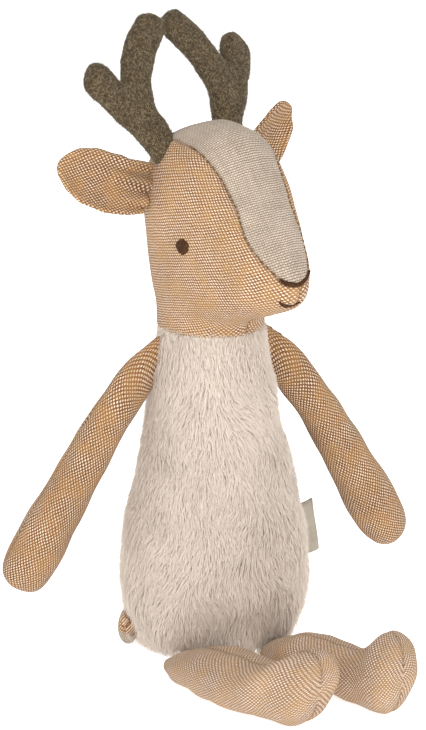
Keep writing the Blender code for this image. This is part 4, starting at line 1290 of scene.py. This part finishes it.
@dataclass
class Arm:
    """One arm: a woven sleeve that hangs from a flat root in the body's side seam."""

    palette: Palette
    body: Body
    side: Side
    seam_top: float = 125.0 * MM
    seam_half: float = 10.5 * MM
    length: float = 92.0 * MM
    spread: float = 23.4
    lean_back: float = 2.0
    radius: float = 8.3 * MM
    root_half: float = 1.15 * MM
    along_shares: Table = (0.05, 0.12, 0.22, 0.50, 0.80, 0.92, 0.985, 1.01)
    turn_shares: Table = (0.40, 0.75, 1.0, 1.0, 1.0, 1.0, 1.0, 1.0)
    width_shares: Table = (1.15, 1.02, 0.95, 1.08, 1.27, 1.21, 0.90, 0.42)
    bow_shares: Table = (0.0, -0.08, -0.18, -0.02, 0.34, 0.30, 0.0, -0.44)
    depth_shares: Table = (0.24, 0.48, 0.80, 1.0, 1.14, 1.06, 0.76, 0.36)

    def rings(self) -> list[Ring]:
        """Return the sections from the root to the paw, in the seam's frame."""
        spread = math.radians(self.spread)
        side = self.side.value
        way = Vector((side * math.sin(spread), math.sin(math.radians(self.lean_back)), -math.cos(spread)))
        way.normalize()
        square = Vector((side * math.cos(spread), 0.0, math.sin(spread)))
        root = UP * self.seam_half, Vector((0.0, self.root_half * side, 0.0))
        rings = [Ring(Vector((-side * inward, 0.0, 0.0)), *root) for inward in (2.0 * MM, 1.4 * MM, 0.0)]
        rows = zip(self.along_shares, self.turn_shares, self.width_shares, self.depth_shares, self.bow_shares)
        for along, turned, width, depth, bow in rows:
            across = UP.lerp(square, turned).normalized()
            wide = across * self.radius * width
            deep = way.cross(across).normalized() * self.radius * depth * side
            centre = way * self.length * along - UP * self.seam_half + wide - square * self.radius * bow
            rings.append(Ring(centre, wide, deep))
        return rings

    def build(self) -> None:
        """Build and dress the arm."""
        word = self.side.word
        piece = make_piece("arm_" + word + "_cloth", grow_sleeve(self.rings(), 8, True, True))
        subdivide(piece, 4)
        low = self.seam_top - 2.0 * self.seam_half
        piece.data.transform(seam_frame(self.body, low, self.seam_top, self.side))
        seed = 20.0 + self.side.value
        sculpt(piece, lambda p, n: ripple(Vector((p.x, p.y, p.z * 0.6)), 9.0 * MM, 0.8 * MM, seed))
        seam_lines(piece, 0.0, self.radius, 0.35 * MM)
        publish(piece, "arm_" + word, "tan_cloth", self.palette.brown, "arm_" + word + "_cover",
                "arm_" + word + "_filling")


@dataclass
class Leg:
    """One leg: a pale woven sleeve that lies forward and ends in a turned-up foot."""

    palette: Palette
    side: Side
    roll: float
    fuller: float
    hip_side: float = 17.3 * MM
    hip_forward: float = 23.8 * MM
    slant: float = 20.0
    yaw: float = 9.5
    root_wide: float = 8.2 * MM
    root_half: float = 1.15 * MM
    gap: float = 0.3 * MM
    radius: float = 9.6 * MM
    length: float = 66.0 * MM
    foot_length: float = 32.0 * MM
    foot_depth: float = 18.0 * MM
    foot_radius: float = 9.8 * MM
    along_shares: Table = (0.10, 0.28, 0.56, 0.88)
    turn_shares: Table = (0.3, 0.8, 1.0, 1.0)
    width_shares: Table = (1.20, 1.50, 1.45, 1.17)
    shift_shares: Table = (0.15, 0.47, 0.46, 0.19)
    fuller_shares: Table = (0.12, 0.24, 0.34, 0.36, 0.30, 0.16, 0.04, 0.0)
    depth_shares: Table = (0.36, 0.74, 1.0, 0.98)
    foot_depth_shares: Table = (0.10, 0.30, 0.75, 1.0)
    foot_rise_shares: Table = (0.45, 1.0, 1.0, 1.0)
    foot_size_shares: Table = (0.98, 1.02, 0.98, 0.56)

    def frame(self) -> Matrix:
        """Return the matrix from the hip's frame to the model's."""
        side = self.side.value
        place = Vector((side * self.hip_side, -self.hip_forward, self.root_half + self.gap))
        return Matrix.Translation(place) @ Matrix.Rotation(math.radians(side * self.slant), 4, "Z")

    def rings(self) -> list[Ring]:
        """Return the sections from the root to the toe, in the hip's frame."""
        turn = math.radians(self.yaw - self.side.value * self.slant)
        roll = math.radians(self.roll)
        ahead = Vector((math.sin(turn), -math.cos(turn), 0.0))
        square = Vector((math.cos(turn), math.sin(turn), 0.0))
        lift = UP * math.cos(roll) + square * math.sin(roll)
        aside = square * math.cos(roll) - UP * math.sin(roll)
        hip = self.root_half + self.gap
        across = Vector((1.0, 0.0, 0.0))
        rings = [Ring(Vector(), across * self.root_wide, UP * self.root_half)]
        rows = zip(self.along_shares, self.turn_shares, self.width_shares, self.depth_shares, self.shift_shares,
                   self.fuller_shares)
        for along, turned, width, depth, shift, fuller in rows:
            deep = self.radius * depth
            width += fuller * self.fuller
            shift += fuller * self.fuller
            centre = ahead * self.length * along - square * self.radius * shift + UP * (deep - hip)
            wide = across.lerp(square, turned).normalized() * self.radius * width
            rings.append(Ring(centre, wide, UP * deep))
        rows = zip(self.foot_depth_shares, self.foot_rise_shares, self.foot_size_shares,
                   self.fuller_shares[len(self.along_shares):])
        for depth, rise, size, fuller in rows:
            half = self.foot_length / 2.0 - self.foot_radius
            fuller *= self.fuller
            wide = self.foot_radius * (size + fuller)
            tall = (self.foot_radius + half * rise) * size
            ahead_by = self.length + (self.foot_depth - 1.5 * MM * self.fuller) * depth
            centre = ahead * ahead_by + UP * (self.foot_radius - hip) - square * self.foot_radius * fuller
            centre += lift * half * rise
            turned = aside * math.cos(roll) * wide + lift * math.sin(roll) * tall
            upright = lift * math.cos(roll) * tall - aside * math.sin(roll) * wide
            rings.append(Ring(centre, turned, upright))
        return rings

    def build(self) -> None:
        """Build and dress the leg."""
        word = self.side.word
        piece = make_piece("leg_" + word + "_cloth", grow_sleeve(self.rings(), 8, True, True, 0.25))
        subdivide(piece, 4)
        piece.data.transform(self.frame())
        seed = 40.0 + self.side.value
        sculpt(piece, lambda p, n: ripple(p, 9.0 * MM, 0.8 * MM, seed))
        seam_lines(piece, 0.25, self.radius, 0.5 * MM)
        for vert in piece.data.vertices:
            vert.co.z = max(vert.co.z, 0.15 * MM)
        publish(piece, "leg_" + word, "pale_cloth", self.palette.pale, "leg_" + word + "_cover",
                "leg_" + word + "_filling")


# --------------------------------------------------------------------------- ears, antlers, tail and label


@dataclass
class Ear:
    """One ear: two layers of cloth sewn round their edge, cupped and pleated at the root."""

    palette: Palette
    head: Head
    side: Side
    lift: float
    sweep: float
    root: Triple = (22.3 * MM, 9.0 * MM, 50.2 * MM)
    half_width: float = 11.0 * MM
    length: float = 40.0 * MM
    rise: float = 21.0
    cup: float = 4.5 * MM
    wall: float = 1.9 * MM
    length_shares: Table = (0.0, 0.14, 0.42, 0.72, 0.90, 1.0)
    width_shares: Table = (0.58, 0.80, 1.00, 0.95, 0.74, 0.48)
    crease_depth: float = 2.6 * MM
    crease_width: float = 0.12
    crease_shade: float = 1.4
    pleat_depth: float = 1.9 * MM
    pleat_turns: float = 8.0
    cup_shares: Table = (0.25, 0.60, 1.0, 0.84, 0.52, 0.30)

    def frame(self) -> Matrix:
        """Return the matrix from the ear's frame to the model's."""
        side = self.side.value
        place = Matrix.Translation((side * self.root[0], self.root[1], self.root[2]))
        sweep = Matrix.Rotation(math.radians(self.sweep), 4, "Z")
        rise = Matrix.Rotation(math.radians(-side * self.rise), 4, "Y")
        return self.head.frame() @ place @ sweep @ rise

    def crease(self, along: float, across: float) -> float:
        """Return how near a place is to the crease that runs out from the root, from 0 to 1."""
        off = (across - 0.38 - 0.12 * along) / self.crease_width
        return math.exp(-off * off) * min(along / 0.1, 1.0) * max(1.0 - along / 0.85, 0.0)

    def surface(self, along: float, across: float) -> Vector:
        """Return a point of the ear's middle surface."""
        bent = across * across
        out = self.length * along * (1.0 - 0.10 * bent * along)
        cup = self.cup * between(self.length_shares, self.cup_shares, along)
        width = self.half_width * between(self.length_shares, self.width_shares, along)
        pleat = self.pleat_depth * math.cos(across * self.pleat_turns) * max(1.0 - along / 0.5, 0.0) ** 1.6
        spread = 0.45 * self.half_width * max(1.0 - along / 0.35, 0.0) * max(across, 0.0)
        pleat -= self.crease_depth * self.crease(along, across)
        high = width * across + self.lift * along * along + spread
        return Vector((self.side.value * out, cup * (1.0 - bent) + pleat, high))

    def build(self) -> None:
        """Build and dress the ear."""
        word = self.side.word
        bm = bmesh.new()
        bmesh.ops.create_grid(bm, x_segments=32, y_segments=28, size=1.0, calc_uvs=False)
        seam = bm.verts.layers.float.new("seam")
        for vert in bm.verts:
            along, across = (vert.co.x + 1.0) / 2.0, vert.co.y
            # The crease's painted shade goes in the seam layer, which darkens the cloth.
            vert[seam] = self.crease_shade * self.crease(along, across - 0.06)
            vert.co = self.surface(along, across)
        bmesh.ops.recalc_face_normals(bm, faces=bm.faces)
        piece = make_piece("ear_" + word + "_cloth", bm)
        settle(modify(piece, "SOLIDIFY", thickness=self.wall, offset=0.0))
        subdivide(piece, 2)
        cloth = piece.data.uv_layers.new(name="cloth")
        for loop, spot in zip(piece.data.loops, cloth.data):
            x, y, z = piece.data.vertices[loop.vertex_index].co
            spot.uv = (self.side.value * x + 0.35 * y, z + 0.35 * y)
        piece.data.transform(self.frame())
        seed = 60.0 + self.side.value
        sculpt(piece, lambda p, n: ripple(p, 7.0 * MM, 0.35 * MM, seed))
        publish(piece, "ear_" + word, "tan_cloth", self.palette.brown, "ear_" + word + "_front",
                "ear_" + word + "_back")


@dataclass
class Antler:
    """One antler: a stuffed felt fork."""

    palette: Palette
    head: Head
    side: Side
    aside: float
    raised: float
    root: Triple = (16.8 * MM, 6.6 * MM, 66.5 * MM)
    height: float = 50.0 * MM
    lean: float = 26.5
    splay: float = 7.0
    thickness: float = 9.0 * MM
    branch_half: float = 0.13
    stem: tuple = ((-0.10, -0.18, 0.105, 0.0), (-0.01, 0.08, 0.14, -6.0), (0.115, 0.285, 0.17, -9.0),
                   (0.205, 0.49, 0.235, -3.0))
    beam: tuple = ((0.015, 0.72, 0.13, 25.0), (-0.12, 0.90, 0.135, 31.0), (-0.235, 1.04, 0.12, 36.0))
    tine: tuple = ((0.345, 0.57, 0.15, -42.0), (0.41, 0.645, 0.14, -50.0), (0.46, 0.69, 0.10, -56.0))
    web: tuple = ((0.15, 0.36, 0.12, 0.0), (0.18, 0.48, 0.12, 0.0), (0.20, 0.55, 0.08, 0.0))
    voxel: float = 0.7 * MM
    fibre_count: int = 6500

    def ring(self, shares: tuple[float, float, float, float]) -> Ring:
        """Return one section across the flat outline, in the head's frame."""
        across, upward, half, turn = shares
        side = self.side.value
        lean, splay, angle = (math.radians(item) for item in (self.lean, self.splay, turn))
        out = Vector((side * math.cos(splay), math.sin(splay), 0.0))
        back = Vector((-side * math.sin(splay), math.cos(splay), 0.0))
        up = back * math.sin(lean) + UP * math.cos(lean)
        thick = back * math.cos(lean) - UP * math.sin(lean)
        root = Vector((side * (self.root[0] + self.aside), self.root[1], self.root[2]))
        wide = (out * math.cos(angle) + up * math.sin(angle)) * half * self.height
        centre = root + (out * across + up * upward) * self.height
        deep = thick * self.thickness / 2.0 * (1.0 if half > 0.1 else 0.8)
        return Ring(centre, wide, deep * side)

    def build(self) -> None:
        """Build and dress the antler and its loose fibres."""
        word = self.side.word
        name = "antler_" + word + "_felt"
        bm = bmesh.new()
        most = self.branch_half
        left = [(a - max(h - most, 0.0), u, min(h, most), t) for a, u, h, t in self.stem]
        right = [(a + max(h - most, 0.0), u, min(h, most), t) for a, u, h, t in self.stem]
        tine = [(a, u + self.raised / self.height, h, t) for a, u, h, t in self.tine]
        reach = 1.0 + 4.0 * self.raised / self.height
        web = [(a, 0.36 + (u - 0.36) * reach, h, t) for a, u, h, t in self.web]
        parts = []
        for branch in (left + list(self.beam), right + tine, web):
            sleeve = make_piece(name, grow_sleeve([self.ring(s) for s in branch], 8, True, True))
            subdivide(sleeve, 3)
            parts.append(sleeve)
        for part in parts:
            bm.from_mesh(part.data)
            bpy.data.objects.remove(part)
        piece = make_piece(name, bm)
        modify(piece, "REMESH", mode="VOXEL", voxel_size=self.voxel)
        settle(modify(piece, "SMOOTH", factor=0.6, iterations=14))
        piece.data.shade_smooth()
        piece.data.transform(self.head.frame())
        seed = 80.0 + self.side.value
        sculpt(piece, lambda p, n: ripple(p, 8.0 * MM, 0.7 * MM, seed) + ripple(p, 3.0 * MM, 0.2 * MM, seed))
        fibres = Strands(1.9 * MM, 0.10 * MM, self.fibre_count, 14.0, swing=3.0, seed=11)
        place, normal = fibres.roots(piece)
        way = np.cross(normal, np.random.default_rng(5).normal(size=normal.shape))
        way /= np.linalg.norm(way, axis=1)[:, None]
        fuzz = fibres.grow("antler_" + word + "_fuzz", place, normal, way)
        publish(fuzz, "head", "felt", self.palette.felt_hair)
        publish(piece, "head", "felt", self.palette.felt, "antler_" + word + "_cover",
                "antler_" + word + "_filling")


@dataclass
class Tail:
    """The tail: a woven upper piece and a linen lower piece, curled round the body's right side."""

    palette: Palette
    body: Body
    root_angle: float = 50.0
    tip_angle: float = 92.0
    half_height: float = 5.6 * MM
    half_thickness: float = 3.4 * MM
    sink: float = 1.6 * MM
    gap: float = 0.3 * MM
    length_shares: Table = (0.0, 0.15, 0.50, 0.80, 0.95, 1.0)
    height_shares: Table = (0.72, 0.90, 1.0, 1.05, 0.90, 0.55)
    thickness_shares: Table = (0.30, 0.46, 0.76, 1.0, 0.86, 0.50)

    def build(self) -> None:
        """Build and dress both halves."""
        middle = self.half_height * max(self.height_shares) + self.gap
        reach = self.body.width(middle) - self.sink
        rings = []
        for share, tall, thick in zip(self.length_shares, self.height_shares, self.thickness_shares):
            angle = math.radians(self.root_angle + (self.tip_angle - self.root_angle) * share)
            outward = Vector((-math.sin(angle), math.cos(angle), 0.0))
            thickness = self.half_thickness * thick
            centre = outward * (reach + thickness) + UP * middle
            rings.append(Ring(centre, outward * thickness, UP * self.half_height * tall))
        halves = (
            ("tail_upper_cloth", self.palette.tan, "tan_cloth", "tail_top", 1.0),
            ("tail_lower_cloth", self.palette.linen, "linen", "tail_underside", -1.0),
        )
        for name, material, slot, node, way in halves:
            piece = subdivide(make_piece(name, grow_sleeve(rings, 8, True, True)), 3)
            bm = bmesh.new()
            bm.from_mesh(piece.data)
            bpy.data.objects.remove(piece)
            bmesh.ops.bisect_plane(bm, geom=bm.faces[:] + bm.edges[:] + bm.verts[:], dist=1e-6,
                                   plane_co=(0.0, 0.0, middle), plane_no=(0.0, 0.0, -way), clear_outer=True)
            bmesh.ops.holes_fill(bm, edges=[e for e in bm.edges if e.is_boundary], sides=0)
            bmesh.ops.recalc_face_normals(bm, faces=bm.faces)
            cloth = bm.loops.layers.uv["cloth"]
            for face in bm.faces:
                for loop in face.loops:
                    x, y, z = loop.vert.co
                    loop[cloth].uv = (math.atan2(y, x) * reach, z + math.hypot(x, y))
            half = make_piece(name, bm)
            publish(half, "tail", slot, material, node)


@dataclass
class SideLabel:
    """The folded woven tape in the left side seam, with nothing on it."""

    palette: Palette
    body: Body
    height: float = 21.0 * MM
    length: float = 8.6 * MM
    bend: float = 2.6 * MM
    middle: float = 39.0 * MM
    fold: float = 0.45 * MM
    wall: float = 0.35 * MM
    steps: int = 10
    rows: int = 8

    def build(self) -> None:
        """Build and dress the tape."""
        low = self.middle - self.height / 2.0
        frame = seam_frame(self.body, low, low + self.height, Side.LEFT)
        bm = bmesh.new()
        leg = self.length - self.fold
        out = [x / self.steps * leg for x in range(self.steps + 1)]
        run = [(x, -self.fold) for x in out]
        run += [(leg + self.fold * math.sin(a), -self.fold * math.cos(a)) for a in (0.8, 1.57, 2.34)]
        run += [(x, self.fold) for x in reversed(out)]
        verts = [bm.verts.new((x, y, -self.height / 2.0)) for x, y in run]
        edges = [bm.edges.new(pair) for pair in zip(verts, verts[1:])]
        for _ in range(self.rows):
            moved, edges = extrude(bm, edges)
            bmesh.ops.translate(bm, verts=moved, vec=(0.0, 0.0, self.height / self.rows))
        cloth = bm.loops.layers.uv.new("cloth")
        for face in bm.faces:
            for loop in face.loops:
                loop[cloth].uv = (loop.vert.co.x, loop.vert.co.z)
        for vert in bm.verts:
            out = vert.co.x / self.length
            vert.co.y += 0.7 * MM * math.sin(vert.co.z / self.height * 4.0) * out + self.bend * out * out
            vert.co.x -= 0.30 * self.bend * out * out
        bmesh.ops.recalc_face_normals(bm, faces=bm.faces)
        piece = make_piece("side_label_tape", bm, frame)
        settle(modify(piece, "SOLIDIFY", thickness=self.wall, offset=0.0))
        publish(piece, "label", "label_tape", self.palette.label, "side_label")


# --------------------------------------------------------------------------- the studio


@dataclass
class Studio:
    """The pale floor, the soft lights and the camera at the photograph's angle."""

    azimuth: float = -22.0
    elevation: float = 16.5
    distance: float = 1.2
    target: Triple = (0.0, -0.02, 0.11)
    focal_pixels: float = 3180.0
    width: int = 426
    shift: tuple[float, float] = (-0.0424, 0.035)
    lamp_size: float = 1.6

    def build(self) -> None:
        """Build the floor, the lights and the camera."""
        bpy.context.scene.view_settings.view_transform = "Standard"
        self.floor()
        self.lights()
        self.camera()

    def floor(self) -> None:
        """Lay the floor."""
        bm = bmesh.new()
        bmesh.ops.create_grid(bm, x_segments=1, y_segments=1, size=6.0)
        floor = make_piece("studio_floor", bm, Matrix.Translation((0.0, 0.0, -0.1 * MM)))
        paint = bpy.data.materials.new("studio floor")
        paint.use_nodes = True
        shader = paint.node_tree.nodes["Principled BSDF"]
        shader.inputs["Base Color"].default_value = (0.86, 0.86, 0.86, 1.0)
        shader.inputs["Roughness"].default_value = 1.0
        shader.inputs["Emission Color"].default_value = (1.0, 1.0, 1.0, 1.0)
        shader.inputs["Emission Strength"].default_value = 0.7
        floor.data.materials.append(paint)

    def lights(self) -> None:
        """Hang three soft lights in a pale room."""
        world = bpy.data.worlds.new("studio")
        world.use_nodes = True
        world.node_tree.nodes["Background"].inputs[0].default_value = (1.0, 1.0, 1.0, 1.0)
        world.node_tree.nodes["Background"].inputs[1].default_value = 0.75
        bpy.context.scene.world = world
        for name, place, power in (("key", (-0.8, -1.1, 1.15), 16.0), ("fill", (0.1, -1.5, 0.25), 14.0),
                                   ("rim", (0.3, 1.2, 1.2), 9.0)):
            lamp = bpy.data.lights.new(name, "AREA")
            lamp.energy = power
            lamp.size = self.lamp_size
            light = bpy.data.objects.new(name, lamp)
            bpy.context.scene.collection.objects.link(light)
            aim = Vector((0.0, 0.0, 0.1)) - Vector(place)
            light.matrix_world = Matrix.Translation(place) @ aim.to_track_quat("-Z", "Y").to_matrix().to_4x4()

    def camera(self) -> None:
        """Set the camera."""
        turn, tilt = math.radians(self.azimuth), math.radians(self.elevation)
        way = Vector((math.sin(turn) * math.cos(tilt), -math.cos(turn) * math.cos(tilt), math.sin(tilt)))
        lens = bpy.data.cameras.new("photograph")
        lens.sensor_fit = "HORIZONTAL"
        lens.sensor_width = 36.0
        lens.lens = self.focal_pixels / self.width * lens.sensor_width
        lens.shift_x, lens.shift_y = self.shift
        lens.clip_end = 20.0
        camera = bpy.data.objects.new("photograph", lens)
        bpy.context.scene.collection.objects.link(camera)
        place = Vector(self.target) + way * self.distance
        camera.matrix_world = Matrix.Translation(place) @ (-way).to_track_quat("-Z", "Y").to_matrix().to_4x4()
        bpy.context.scene.camera = camera


def main() -> None:
    """Build the dressed toy in order."""
    logging.basicConfig(level=logging.INFO, format="%(message)s")
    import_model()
    Studio().build()
    palette = Palette.mixed()
    body = Body(palette)
    body.build()
    head = Head(palette)
    form = head.build()
    for side in Side:
        Arm(palette, body, side).build()
        right = side is Side.RIGHT
        Leg(palette, side, 42.0 if right else 14.0, 1.0 if right else 0.0).build()
        lift, sweep = (1.5, -16.0) if right else (8.0, 9.0)
        Ear(palette, head, side, lift * MM, sweep).build()
        aside, raised = (1.8, -0.4) if right else (-0.6, 2.8)
        Antler(palette, head, side, aside * MM, raised * MM).build()
    Tail(palette, body).build()
    SideLabel(palette, body).build()
    bpy.data.objects.remove(form)


if __name__ == "__main__":
    main()
